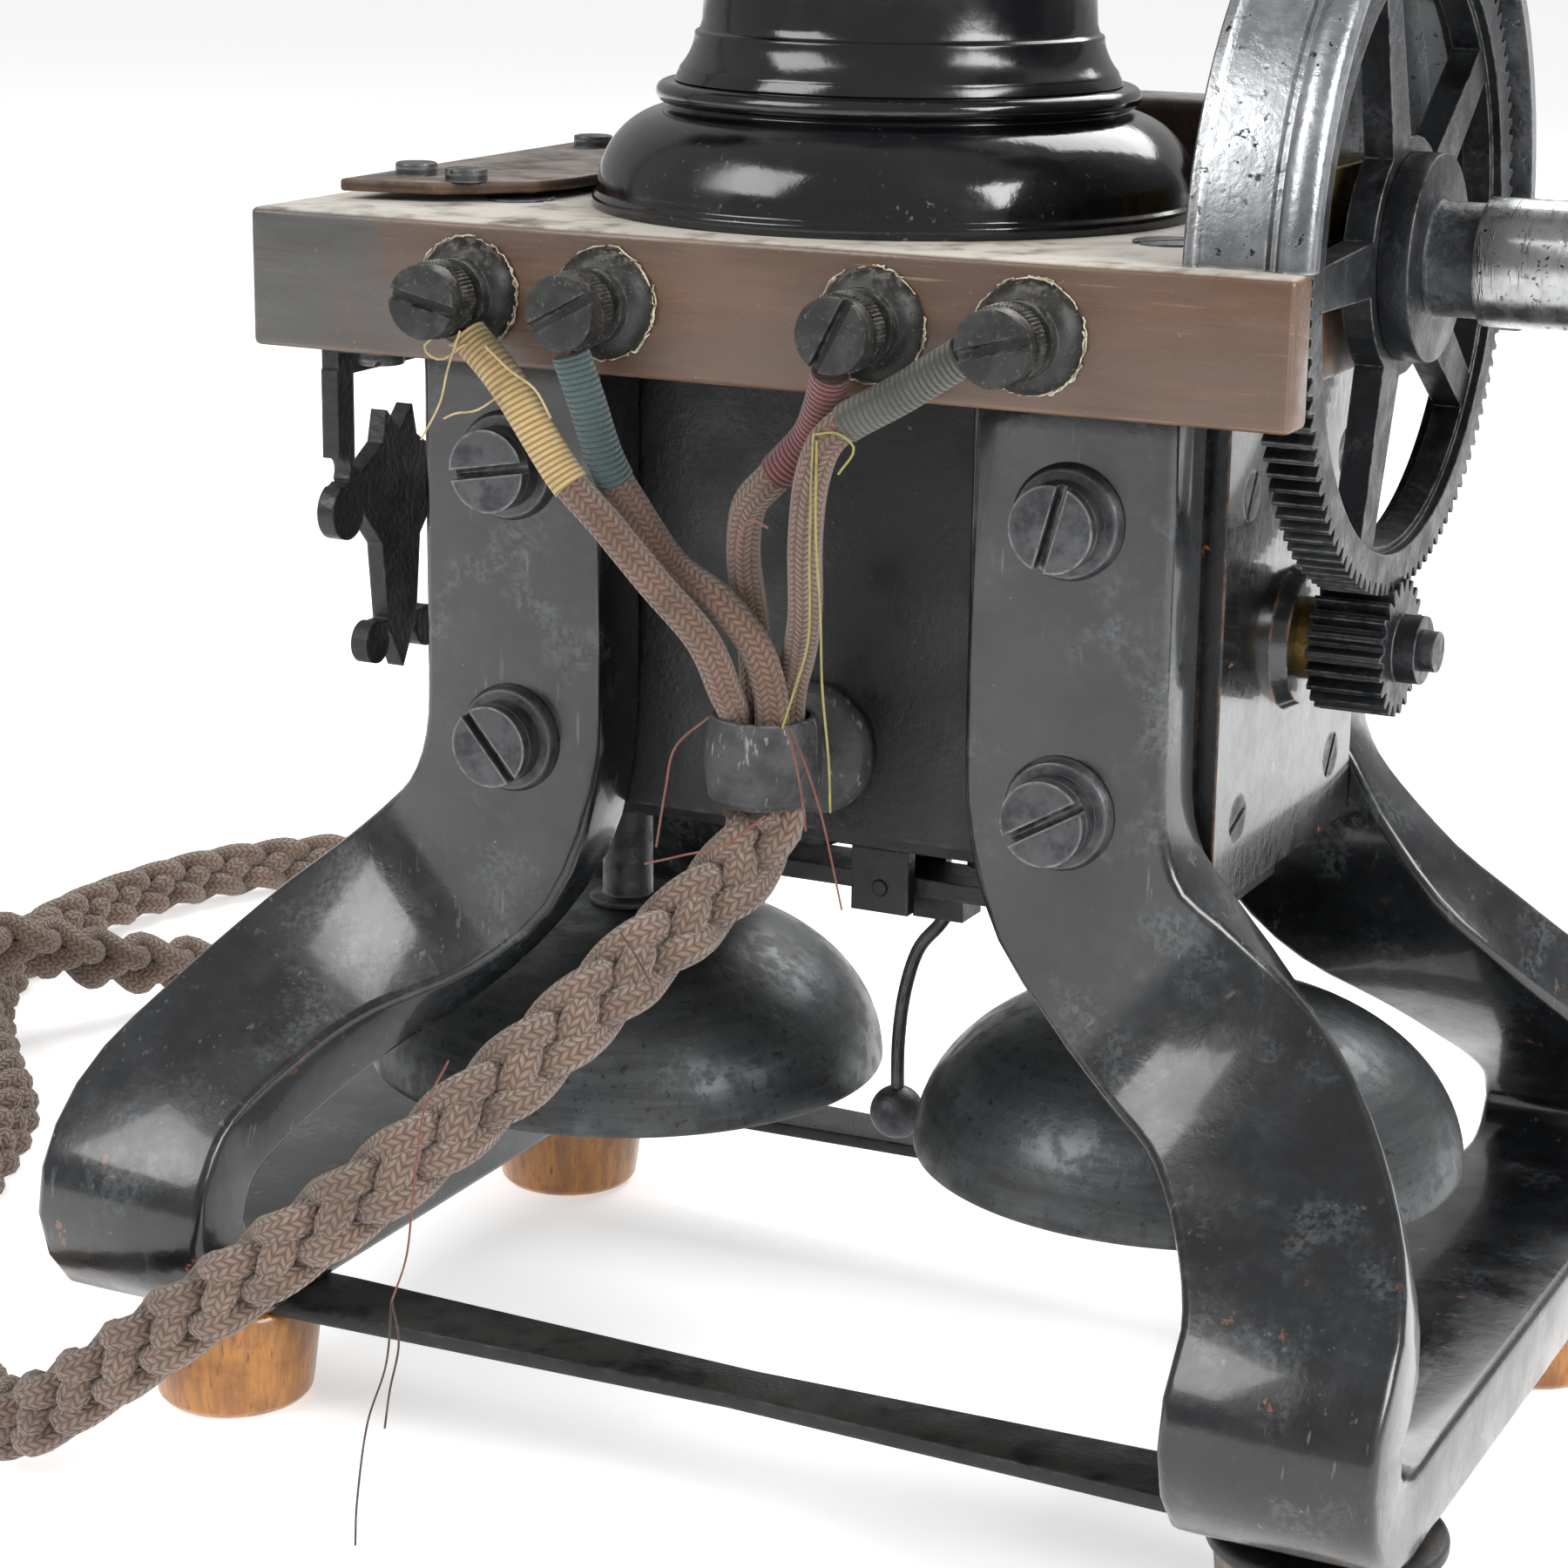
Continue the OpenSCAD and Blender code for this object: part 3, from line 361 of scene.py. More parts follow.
# Loose ends of the whippings and of the sleeves: single cotton threads, which hang and curl.
LOOSE_THREADS = {
    "cream": [[(-31.6, -57.3, 146.5), (-33, -57.8, 142), (-34, -58, 138), (-36.6, -58, 133.5)],
              [(-28, -57.6, 145), (-24.6, -58, 142.6), (-21.4, -57.8, 140.6), (-19.4, -57.6, 137.4)],
              [(-31, -57.2, 145), (-34, -57.6, 143), (-36.3, -57.6, 144.1), (-35, -57.8, 145.6)],
              [(-25.6, -57.2, 140), (-29, -57.8, 137.6), (-31.8, -58, 137), (-33.6, -57.8, 136.2)]],
    "yellow_green": [[(14.1, -57.8, 138.5), (13.1, -56.2, 131.5), (11.6, -53.2, 123.3), (9.4, -48.6, 113),
                      (6.6, -46.4, 106), (4.6, -45.4, 101)],
                     [(14.4, -57.6, 137.7), (13.4, -55.4, 126.8), (12.8, -52.6, 116.6), (12.2, -50.6, 108),
                      (12.8, -49.8, 99), (13, -49.6, 92.9)],
                     [(14.2, -57.6, 138.4), (17, -57.9, 138.8), (19.1, -57.8, 137.2), (17.1, -57.6, 134.2)]],
    "red": [[(-4.4, -46.6, 101.6), (-7.4, -49.4, 98.2), (-8.4, -50, 93), (-9.4, -50.4, 85.9)],
            [(6, -46.2, 101.4), (9.6, -49.4, 98.2), (12, -49.6, 92), (14.6, -49.4, 81.3)],
            [(5.4, -46.4, 101.6), (8, -49.4, 99.6), (9.2, -49.6, 95), (9.8, -49.4, 90.2)],
            [(-9.6, -52.8, 84.4), (-4, -54.6, 86.6), (1, -52.6, 88.2), (4.6, -49.6, 91.4)],
            [(8.2, -57, 127.2), (5.8, -56.6, 127.8), (4.4, -56.4, 126), (3.6, -55.8, 123.4)],
            [(-21, -79, 66), (-21.6, -83.6, 61), (-22.2, -85, 52), (-23, -85.4, 44), (-25, -85.6, 38)]],
    "dark": [[(-25, -85.6, 38), (-25.8, -85.8, 30), (-28.4, -86, 22), (-30, -86, 12), (-30.4, -86, 6)],
             [(-25, -85.6, 38), (-24, -85.8, 33), (-25.2, -86, 27), (-26, -86, 22)],
             [(-9, -60, 78), (-5, -62.6, 75.6), (-3.6, -62, 72), (-5.4, -61.6, 70)]]}
THREAD_COLOURS = {"cream": "#b5a274", "yellow_green": "#8f8a45", "red": "#6f3a30", "dark": "#3d2a25"}
for name, routes in LOOSE_THREADS.items():
    fibre, tree = new_finish(f"{name}_loose_cotton")
    shade = coats(tree, THREAD_COLOURS[name], (clouds(tree, 2, 0.4, 0.7, 0.5), "#6b5a44"))
    lit(tree, shade, 0.9, sheen_weight=0.3)
    lines = [smooth_line(route, LEAD_STEP) for route in routes]
    stand(f"loose_threads_{name}", laid("loose_threads", lines, LOOSE_R, 6), fibre)

# ---------- cord ring ----------
# A worn barrel of lead grey metal, through which the four leads go, held by a turned stem and
# rosette that screws to the front of the generator.
RING_AT = Vector((0, -41, 96))
ROSETTE_Z = 94
SHARP_CORNER = 35
POLE_Y = 26.6
AXES = {"Z": Matrix.Identity(4), "X": Matrix.Rotation(math.pi / 2, 4, "Y"),
        "-X": Matrix.Rotation(-math.pi / 2, 4, "Y"), "Y": Matrix.Rotation(-math.pi / 2, 4, "X"),
        "-Y": Matrix.Rotation(math.pi / 2, 4, "X"), "-Z": Matrix.Rotation(math.pi, 4, "X")}


def soften(shape, radius, corner=32, segments=2, above=None):
    """Rounds every edge that is sharper than corner degrees, or only those above a height."""
    sharp = [e for e in shape.edges if len(e.link_faces) == 2 and e.calc_face_angle() > math.radians(corner)
             and (above is None or all(v.co.z > above for v in e.verts))]
    bmesh.ops.bevel(shape, geom=sharp, offset=radius, offset_type="OFFSET", affect="EDGES",
                    segments=segments, profile=0.5, material=-1, clamp_overlap=True)
    return shape


def turned(profile, at=(0, 0, 0), axis="Z", steps=64, closed=False, edge=0.0):
    """A lathe: spins the (radius, height) profile and stands it at a place along an axis."""
    shape = bmesh.new()
    verts = [shape.verts.new((r, 0, h)) for r, h in profile]
    pairs = list(zip(verts, verts[1:])) + ([(verts[-1], verts[0])] if closed else [])
    edges = [shape.edges.new(pair) for pair in pairs]
    bmesh.ops.spin(shape, geom=verts + edges, cent=(0, 0, 0), axis=(0, 0, 1), dvec=(0, 0, 0),
                   angle=math.tau, steps=steps, use_merge=True, use_duplicate=False)
    bmesh.ops.remove_doubles(shape, verts=shape.verts[:], dist=0.001)
    bmesh.ops.recalc_face_normals(shape, faces=shape.faces[:])
    if edge:
        soften(shape, edge)
    shape.transform(Matrix.Translation(at) @ AXES[axis])
    return shape


def built(name, shapes, finish, replaced=(), body="frame"):
    """Joins the shapes (mm) into one piece, in metres, with its sharp edges kept."""
    mesh = bpy.data.meshes.new(name)
    whole = bmesh.new()
    for shape in shapes:
        shape.to_mesh(mesh)
        whole.from_mesh(mesh)
        shape.free()
    bmesh.ops.scale(whole, vec=(MM, MM, MM), verts=whole.verts[:])
    whole.to_mesh(mesh)
    whole.free()
    mesh.shade_smooth()
    mesh.set_sharp_from_angle(angle=math.radians(SHARP_CORNER))
    return stand(name, mesh, finish, body, replaced)


def edge_mask(tree, radius, low=0.985, high=0.90):
    """1 on the edges and 0 on the flats, from how far a rounded normal turns within radius mm."""
    rounded = add(tree, "ShaderNodeBevel", {"Radius": radius * MM}, samples=4)[0]
    true = add(tree, "ShaderNodeNewGeometry", {})["True Normal"]
    same = add(tree, "ShaderNodeVectorMath", {0: rounded, 1: true}, operation="DOT_PRODUCT")["Value"]
    return add(tree, "ShaderNodeMapRange", {"Value": same, "From Min": low, "From Max": high})[0]


def scratches(tree, size, stretch, low=0.6, high=0.7, seed=0.0):
    """Fine lines: a cloudy pattern drawn out along one axis."""
    return clouds(tree, size, low, high, stretch=stretch, seed=seed, detail=2.0)


# Cast lead alloy, dull grey and soft, so its rims are scratched bright.
lead_alloy, tree = new_finish("worn_lead_alloy")
rubbed = product(tree, edge_mask(tree, 0.5), clouds(tree, 1.2, 0.35, 0.6))
marks = scratches(tree, 0.8, (1, 1, 0.25), 0.6, 0.68)
shade = coats(tree, "#4c4c4d", (clouds(tree, 4, 0.4, 0.65), "#38393a"),
              (product(tree, marks, clouds(tree, 3, 0.45, 0.6)), "#8d8c88"), (rubbed, "#96948e"))
lit(tree, shade, 0.55, uneven(tree, clouds(tree, 0.8, 0.3, 0.7), 0.1, 0.5), metallic=0.5)

built("cord_ring_barrel", [turned([(5.2, -5.3), (6, -5.3), (6.6, -4.4), (6.9, -2.4), (7.1, 0), (6.9, 2.4),
                                   (6.6, 4.4), (6.2, 5.3), (5.6, 5.3)], RING_AT, closed=True, edge=0.12)],
      lead_alloy, ["cord_ring"])
built("cord_ring_rosette", [turned([(0, 0), (8.2, 0), (8.2, 1), (7.2, 2.2), (4, 3.2), (2.6, 3.6), (2.4, 7.4),
                                    (0, 7.4)], (0, -POLE_Y, ROSETTE_Z), "-Y", edge=0.2)],
      lead_alloy, ["cord_rosette"])

# ---------- magnet legs ----------
# Two closed loops of magnet bar, 25 by 11 mm, bent hot, hardened and japanned black. They hold
# the generator between their uprights and stand on the feet with their flat base bars.
LEG_X = 36.7
LEG_Y = 32.1
BOARD_Z = 141.3
TOE_X = 75.6
BASE_Z = 22.5
BAR_W = 25
BAR_T = 11
BAR_CORNER_R = 1.3
BAR_STEP = 4
STEEP = 50
FRONT_HALF = [
    (LEG_X, -LEG_Y, BOARD_Z), (LEG_X, -LEG_Y, 118), (LEG_X, -LEG_Y, 102), (37.2, -LEG_Y, 91), (40, -31.9, 82),
    (45.5, -31.4, 74.5), (53.5, -33.2, 66.8), (62.5, -38.4, 59.5), (69.8, -47, 51.5), (75.2, -57.5, 43),
    (TOE_X, -64.4, 34.6), (TOE_X, -62.8, 26.6), (TOE_X, -56, BASE_Z), (TOE_X, -45, BASE_Z),
    (TOE_X, -22, BASE_Z)]


def bar_loop(side_sign):
    """Sweeps the bar's section along one magnet, bridging each ring of its outline to the next."""
    half = [Vector((side_sign * x, y, z)) for x, y, z in FRONT_HALF]
    line = smooth_line(half + [Vector((p.x, -p.y, p.z)) for p in reversed(half)], BAR_STEP)
    shape = bmesh.new()
    last_ring = []
    for i, centre in enumerate(line):
        along = (line[min(i + 1, len(line) - 1)] - line[max(i - 1, 0)]).normalized()
        side = (Vector((1, 0, 0)) - along * along.x).normalized()
        face = along.cross(side)
        corners = [centre + side * x * BAR_W / 2 + face * y * BAR_T / 2
                   for x, y in ((-1, -1), (1, -1), (1, 1), (-1, 1))]
        verts = [shape.verts.new(c) for c in corners]
        ring = [shape.edges.new((verts[k], verts[(k + 1) % 4])) for k in range(4)]
        if last_ring:
            bmesh.ops.bridge_loops(shape, edges=last_ring + ring)
        last_ring = ring
    ends = [e for e in shape.edges if e.is_boundary]
    bmesh.ops.holes_fill(shape, edges=ends, sides=4)
    bmesh.ops.recalc_face_normals(shape, faces=shape.faces[:])
    return soften(shape, BAR_CORNER_R, STEEP, 3)


# Black japan on hardened steel: deep gloss gone cloudy with age, chipped to rust and bare metal
# on the edges and round the toes.
japan, tree = new_finish("aged_black_japan")
haze = clouds(tree, 26, 0.35, 0.75, 0.75, detail=3.0)
grain = clouds(tree, 1.8, 0.4, 0.75, 0.6)
scuffs = product(tree, clouds(tree, 16, 0.52, 0.66, 0.5, seed=5), clouds(tree, 0.9, 0.4, 0.6, seed=2))
hairlines = product(tree, scratches(tree, 1.2, (1, 1, 0.1), 0.64, 0.7),
                    clouds(tree, 14, 0.45, 0.6, 0.45, seed=7))
rust = product(tree, level(tree, 0.065, 0.02), clouds(tree, 4, 0.66, 0.70, 0.9, seed=9))
flecks = clouds(tree, 1.4, 0.72, 0.75, 0.8, seed=4)
edges = product(tree, edge_mask(tree, 0.9, 0.97, 0.85), clouds(tree, 3.5, 0.5, 0.7, 0.7, seed=1))
shade = coats(tree, "#0c0d0f", (haze, "#1e2124"), (product(tree, grain, haze), "#35393c"), (scuffs, "#55595c"),
              (hairlines, "#6d7072"), (rust, "#8a5230"), (flecks, "#8d8477"), (edges, "#6e6a62"))
relief = add(tree, "ShaderNodeMath", {0: rust, 1: -0.8, 2: grain}, operation="MULTIPLY_ADD")[0]
lit(tree, shade, patchy(tree, 9, 0.18, 0.40), uneven(tree, relief, 0.12, 0.25), coat_weight=0.5,
    coat_roughness=0.1)

for side, side_sign in (("left", -1), ("right", 1)):
    built(f"magnet_{side}_bar", [bar_loop(side_sign)], japan, [f"magnet_{side}"])

# ---------- magnet bolts ----------
# Slotted cheese-head screws and thick washers of plain steel, gone grey. They clamp the uprights
# to the pole plates behind them.
BOLT_HEIGHTS = [93.1, 127.4]
BOLT_TURNS = [[-50, 30], [10, 75]]
WASHER_T = 1.6
KNURL_DEPTH = 0.18
SLOT_FLOOR = 0.62


def slotted(radius, height, slot, turn, at, axis, knurls=0, edge=0.25):
    """A screw head: a disc is cut in three, and the two outer parts rise above the slot."""
    shape = bmesh.new()
    bmesh.ops.create_circle(shape, cap_ends=True, radius=radius, segments=2 * knurls or 48)
    if knurls:
        for vert in list(shape.verts)[::2]:
            vert.co *= 1 - KNURL_DEPTH / radius
    for sign in (-1, 1):
        bmesh.ops.bisect_plane(shape, geom=shape.verts[:] + shape.edges[:] + shape.faces[:], dist=1e-4,
                               plane_co=(0, sign * slot / 2, 0), plane_no=(0, 1, 0))
    for part, rise in ((0, SLOT_FLOOR), (1, 1 - SLOT_FLOOR)):
        faces = [f for f in shape.faces if f.calc_center_median().z > height * SLOT_FLOOR * part - 0.01
                 and abs(f.normal.z) > 0.9 and (not part or abs(f.calc_center_median().y) > slot / 2)]
        grown = bmesh.ops.extrude_face_region(shape, geom=faces)["geom"]
        bmesh.ops.translate(shape, vec=(0, 0, height * rise),
                            verts=[v for v in grown if isinstance(v, bmesh.types.BMVert)])
    bmesh.ops.recalc_face_normals(shape, faces=shape.faces[:])
    if edge:
        soften(shape, edge, STEEP, above=height - 0.01)
    shape.transform(Matrix.Translation(at) @ AXES[axis] @ Matrix.Rotation(math.radians(turn), 4, "Z"))
    return shape


# Plain steel: grey with age, the tops rubbed lighter, old grease in the slots.
screw_steel, tree = new_finish("aged_steel_screws")
rubbed = product(tree, edge_mask(tree, 0.5), clouds(tree, 1.5, 0.3, 0.6))
shade = coats(tree, "#4e4f51", (clouds(tree, 3, 0.4, 0.65), "#35363a"),
              (clouds(tree, 1.1, 0.66, 0.74, 0.8, seed=2), "#6b5a4a"), (rubbed, "#8f8e8a"))
lit(tree, shade, patchy(tree, 2, 0.3, 0.6), uneven(tree, clouds(tree, 0.7, 0.3, 0.7), 0.08), metallic=0.6)

heads = []
washers = []
for end, axis in ((-1, "-Y"), (1, "Y")):
    face_y = end * (POLE_Y + BAR_T)
    for side in (-1, 1):
        for number, z in enumerate(BOLT_HEIGHTS):
            washers.append(turned([(0, 0), (6.8, 0), (6.8, 0.5), (6.3, WASHER_T), (0, WASHER_T)],
                                  (side * LEG_X, face_y, z), axis, edge=0.15))
            heads.append(slotted(5.1, 4.2, 1.3, BOLT_TURNS[number][side > 0],
                                 (side * LEG_X, face_y + end * WASHER_T, z), axis))
built("magnet_bolt_heads", heads, screw_steel, ["magnet_bolts"])
built("magnet_bolt_washers", washers, screw_steel, ["magnet_washers"])

# ---------- generator ----------
# Two cast pole plates and two end plates screwed together round the armature. The plates are
# painted black, flat on the poles and glossy on the ends, over orange primer.
BEVEL_R = 0.5
SILK_PITCH = 0.6


def clad(finish, *names):
    """Gives carried-over nodes their finish."""
    for name in names:
        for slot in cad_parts[name].material_slots:
            slot.material = finish


# Flat black paint on cast iron: grainy, with greasy shine here and there and dust on top.
flat_black, tree = new_finish("flat_black_paint_on_iron")
sand = clouds(tree, 0.9, 0.3, 0.7)
edges = product(tree, edge_mask(tree, 0.8), clouds(tree, 3, 0.45, 0.65, 0.8))
dust = product(tree, top_dust(tree, 0.5, 1.0, 0.25), clouds(tree, 5, 0.3, 0.6))
shade = coats(tree, "#0b0c0c", (clouds(tree, 16, 0.4, 0.7, 0.7), "#1b1d1e"),
              (clouds(tree, 1.2, 0.68, 0.74, 0.7), "#4d4b47"),
              (clouds(tree, 2.6, 0.72, 0.75, 0.8, seed=3), "#7c4a2c"), (dust, "#5f5c57"), (edges, "#55524c"))
lit(tree, shade, patchy(tree, 8, 0.32, 0.6), uneven(tree, sand, 0.10, radius=BEVEL_R))

# Glossy black stove enamel over orange primer, which shows where it is chipped.
chipped_black, tree = new_finish("chipped_black_enamel")
chips = clouds(tree, 5, 0.70, 0.73, seed=6)
primer = clouds(tree, 5, 0.67, 0.70, seed=6)
edges = product(tree, edge_mask(tree, 0.8), clouds(tree, 3, 0.4, 0.6, 0.9))
shade = coats(tree, "#141516", (clouds(tree, 18, 0.4, 0.7, 0.6), "#1f2123"),
              (clouds(tree, 1.0, 0.68, 0.74, 0.7), "#4c4a46"), (primer, "#9a5b2b"), (chips, "#5a4a3c"),
              (edges, "#7c5636"))
lit(tree, shade, patchy(tree, 6, 0.15, 0.35), uneven(tree, clouds(tree, 1.5, 0.3, 0.7), 0.06, radius=BEVEL_R),
    coat_weight=0.7, coat_roughness=0.08)

# Brass, brown with age.
old_brass, tree = new_finish("tarnished_brass")
shade = coats(tree, "#8a7440", (clouds(tree, 3, 0.4, 0.65), "#4f4128"), (edge_mask(tree, 0.5), "#b39a5a"))
lit(tree, shade, 0.42, uneven(tree, clouds(tree, 1, 0.3, 0.7), 0.06, radius=BEVEL_R), metallic=0.9)

# Silk-covered wire wound in close turns, green gone dark, with painted shade in the grooves between the turns.
wound_silk, tree = new_finish("green_silk_winding")
where = add(tree, "ShaderNodeTexCoord", {})["Object"]
turns = add(tree, "ShaderNodeTexWave", {"Vector": where, "Scale": 0.31 / (SILK_PITCH * MM),
                                           "Distortion": 0.4}, wave_type="BANDS", bands_direction="Z")[1]
# Painted shade: the bands of the turns are lighter on the crests and darker in the grooves between them.
shade = coats(tree, "#2c4a31", (turns, "#4f6f4c"), (clouds(tree, 4, 0.4, 0.7, 0.7), "#2a2f24"))
lit(tree, shade, 0.7, uneven(tree, turns, 0.25, radius=BEVEL_R), sheen_weight=0.4)

clad(flat_black, "pole_plate_front", "pole_plate_rear", "switch_bracket_left")
clad(chipped_black, "end_plate_left", "end_plate_right")
clad(screw_steel, "end_plate_screws", "armature_shaft", "armature_core", "axle", "foot_screws")
clad(old_brass, "armature_bushes", "axle_block", "switch_springs")
clad(wound_silk, "armature_winding", "coil_winding", "ringer_coils")

# ---------- terminal board ----------
# A slab of brown vulcanised rubber sheet, sawn and polished, gone grey at its left end. Its top
# is dusty, its long edges are rubbed to a light tan, and fine scratches run along it.
BOARD_TOP = 158.0
BOARD_OUTLINE = [(-66, -49), (66, -49), (66, -43), (57.2, -43), (57.2, 43), (66, 43), (66, 49), (-66, 49)]
BOARD_SCREW_AT = (42.8, 24.4)
EBONITE_IOR = 1.6


def slab(outline, low, high, edge=0.6, segments=3):
    """A plate: the outline filled, raised from low to high, with rounded edges."""
    shape = bmesh.new()
    shape.faces.new([shape.verts.new((x, y, low)) for x, y in outline])
    raised = bmesh.ops.extrude_face_region(shape, geom=shape.faces[:])["geom"]
    bmesh.ops.translate(shape, vec=(0, 0, high - low),
                        verts=[v for v in raised if isinstance(v, bmesh.types.BMVert)])
    bmesh.ops.recalc_face_normals(shape, faces=shape.faces[:])
    return soften(shape, edge, 40, segments)


vulcanite, tree = new_finish("aged_brown_vulcanite")
split = add(tree, "ShaderNodeSeparateXYZ", {0: add(tree, "ShaderNodeTexCoord", {})["Object"]})
wander = add(tree, "ShaderNodeMath", {0: clouds(tree, 14, 0.2, 0.8), 1: 0.03, 2: split[0]},
             operation="MULTIPLY_ADD")[0]
grey_end = add(tree, "ShaderNodeMapRange", {"Value": wander, "From Min": -0.012, "From Max": -0.040},
               interpolation_type="SMOOTHSTEP")[0]
streaks = clouds(tree, 5, 0.4, 0.65, 0.7, stretch=(0.12, 1, 1))
light_lines = product(tree, scratches(tree, 0.55, (0.035, 1, 1), 0.62, 0.72),
                      clouds(tree, 12, 0.35, 0.65, 0.6))
dark_lines = scratches(tree, 0.6, (0.04, 1, 1), 0.6, 0.72, seed=4)
specks = clouds(tree, 0.7, 0.70, 0.75, 0.7, seed=8)
edges = product(tree, edge_mask(tree, 0.9, 0.97, 0.85),
                clouds(tree, 4, 0.35, 0.6, 0.75, stretch=(0.3, 1, 1)))
dust = product(tree, top_dust(tree, 0.6, 0.95, 1.0), clouds(tree, 7, 0.2, 0.55, 0.85))
shade = coats(tree, "#523c2d", (streaks, "#644a38"), (grey_end, "#3f3e3c"),
              (product(tree, grey_end, streaks), "#4d4c49"), (dark_lines, "#4a382c"), (light_lines, "#94765c"),
              (specks, "#a08f7a"), (edges, "#ad8660"), (dust, "#cfc9bf"))
relief = add(tree, "ShaderNodeMath", {0: light_lines, 1: -0.6, 2: clouds(tree, 0.8, 0.3, 0.7, 0.4)},
             operation="MULTIPLY_ADD")[0]
rough = add(tree, "ShaderNodeMath", {0: dust, 1: 0.4, 2: patchy(tree, 5, 0.28, 0.55, (0.2, 1, 1))},
            operation="MULTIPLY_ADD", use_clamp=True)[0]
lit(tree, shade, rough, uneven(tree, relief, 0.1, 0.35), ior=EBONITE_IOR)

built("terminal_board_slab", [slab(BOARD_OUTLINE, BOARD_Z, BOARD_TOP, 0.8)], vulcanite,
      ["terminal_board"])

# ---------- screws in the board ----------
# Countersunk slotted screws flush with the board's top, small round heads in the arrester plate,
# and two under the left bracket.
PLATE_SCREWS = [(-56, -27, 40), (-47, -30, 75), (-56, 18, 10), (-47, 22, 55)]
BRACKET_SCREW_X = -56
BRACKET_SCREWS_Y = (-36, -20)
PLATE_TOP = BOARD_TOP + 2.5
screws = [slotted(4.4, 0.9, 1.0, 30 * sx + 20,
                  (sx * BOARD_SCREW_AT[0], sy * BOARD_SCREW_AT[1], BOARD_TOP - 0.6), "Z", edge=0.1)
          for sx in (-1, 1) for sy in (-1, 1)]
screws += [slotted(2.6, 1.6, 0.8, turn, (x, y, PLATE_TOP), "Z", edge=0.4) for x, y, turn in PLATE_SCREWS]
screws += [slotted(3.0, 1.6, 0.8, 65, (BRACKET_SCREW_X, y, BOARD_Z - 1.6), "-Z") for y in BRACKET_SCREWS_Y]
built("board_screw_heads", screws, screw_steel, ["board_screws"])

# ---------- terminals ----------
# Turned binding posts, black and grainy with age: a domed flange, a step, and a knurled head with
# a screwdriver slot. Pale fibres of dust have caught round the flanges.
SLOT_TURNS = [-12, 28, 62, 15]
FLANGE_DOME = [(0, 0), (6.4, 0), (6.4, 0.7), (6.2, 1.2), (5.9, 1.8), (5.4, 2.35), (4.9, 2.7), (4.4, 2.9),
               (4.4, 4.4), (0, 4.4)]
KNURLS = 56
FIBRES = 46
LINT_R = 0.11

# Blackened brass: grainy, dull, with light specks in the pores.
post_black, tree = new_finish("blackened_brass")
pores = clouds(tree, 0.6, 0.58, 0.7)
edges = product(tree, edge_mask(tree, 0.3), clouds(tree, 1.5, 0.45, 0.65, 0.7))
shade = coats(tree, "#1f1f1f", (clouds(tree, 3, 0.4, 0.65, 0.8), "#343433"), (pores, "#4e4d49"),
              (product(tree, top_dust(tree, 0.3, 0.95, 0.55), clouds(tree, 1.2, 0.45, 0.65)), "#8b8678"),
              (edges, "#76726a"))
lit(tree, shade, 0.5, uneven(tree, pores, 0.12, 0.6), metallic=0.35)

# Lint: cream cotton fibres.
lint, tree = new_finish("cream_lint")
lit(tree, coats(tree, "#cfc6ae", (clouds(tree, 1, 0.4, 0.6), "#8f856c")), 0.95, sheen_weight=0.4)

flanges = []
posts = []
fluff = []
random.seed(7)
for end, axis in ((-1, "-Y"), (1, "Y")):
    for number, x in enumerate(TERMINAL_X):
        at = Vector((x, end * BOARD_FRONT, TERMINAL_Z))
        out = Vector((0, end, 0))
        flanges.append(turned(FLANGE_DOME, at, axis, edge=0.12))
        posts.append(turned([(0, 0), (2, 0), (2, 6.3), (0, 6.3)], at, axis, 32))
        posts.append(slotted(4.55, 2.4, 0.01, 0, at + out * 6.2, axis, knurls=KNURLS, edge=0))
        posts.append(slotted(4.35, 2.7, 1.2, SLOT_TURNS[number] + 90 * (end > 0), at + out * 8.5, axis))
        for fibre in range(FIBRES):
            angle = random.uniform(0, math.tau)
            reach = random.uniform(6.2, 6.75)
            sweep = random.uniform(0.15, 0.6)
            ring = []
            for k in range(5):
                a = angle + sweep * k / 4
                wave = reach + random.uniform(-0.15, 0.15)
                ring.append(at + out * random.uniform(0.1, 0.75)
                            + Vector((wave * math.cos(a), 0, wave * math.sin(a))))
            fluff.append(ring)
built("terminal_flange_domes", flanges, post_black, ["terminal_flanges"])
built("terminal_post_heads", posts, post_black, ["terminal_screws"])
stand("terminal_lint", laid("terminal_lint", fluff, LINT_R, 4), lint)

# ---------- arrester plate and rear block ----------
# A thick dark brown plate, screwed on the left of the board with a gap of dust under it, and a
# brown block along the board's rear edge.
PLATE_OUTLINE = [(-61.5, -36), (-48.5, -33.6), (-40, -25.5), (-38.4, -18), (-38.4, 8), (-43, 25), (-50, 30),
                 (-62, 24)]
REAR_BLOCK_H = 11.5

# Dark vulcanised fibre, speckled, with lighter rubbed rims.
dark_fibre, tree = new_finish("dark_vulcanised_fibre")
edges = product(tree, edge_mask(tree, 0.9), clouds(tree, 3, 0.3, 0.6))
dust = product(tree, top_dust(tree, 0.6, 1, 0.6), clouds(tree, 8, 0.3, 0.65))
shade = coats(tree, "#33241e", (clouds(tree, 6, 0.4, 0.65, 0.8), "#473329"),
              (clouds(tree, 0.9, 0.66, 0.74, 0.8), "#6d5c50"), (dust, "#a59d93"), (edges, "#7d634b"))
lit(tree, shade, 0.5, uneven(tree, clouds(tree, 0.8, 0.3, 0.7), 0.1, 0.3))
spacers = [turned([(0, 0), (4, 0), (4, 1.2), (0, 1.2)], (-52, y, BOARD_TOP)) for y in (-14, 4)]
built("arrester_plate_top", [slab(PLATE_OUTLINE, BOARD_TOP + 1, PLATE_TOP, 0.35)] + spacers, dark_fibre,
      ["arrester_plate"])
rear_outline = [(-30, 33), (44, 33), (44, 45), (-30, 45)]
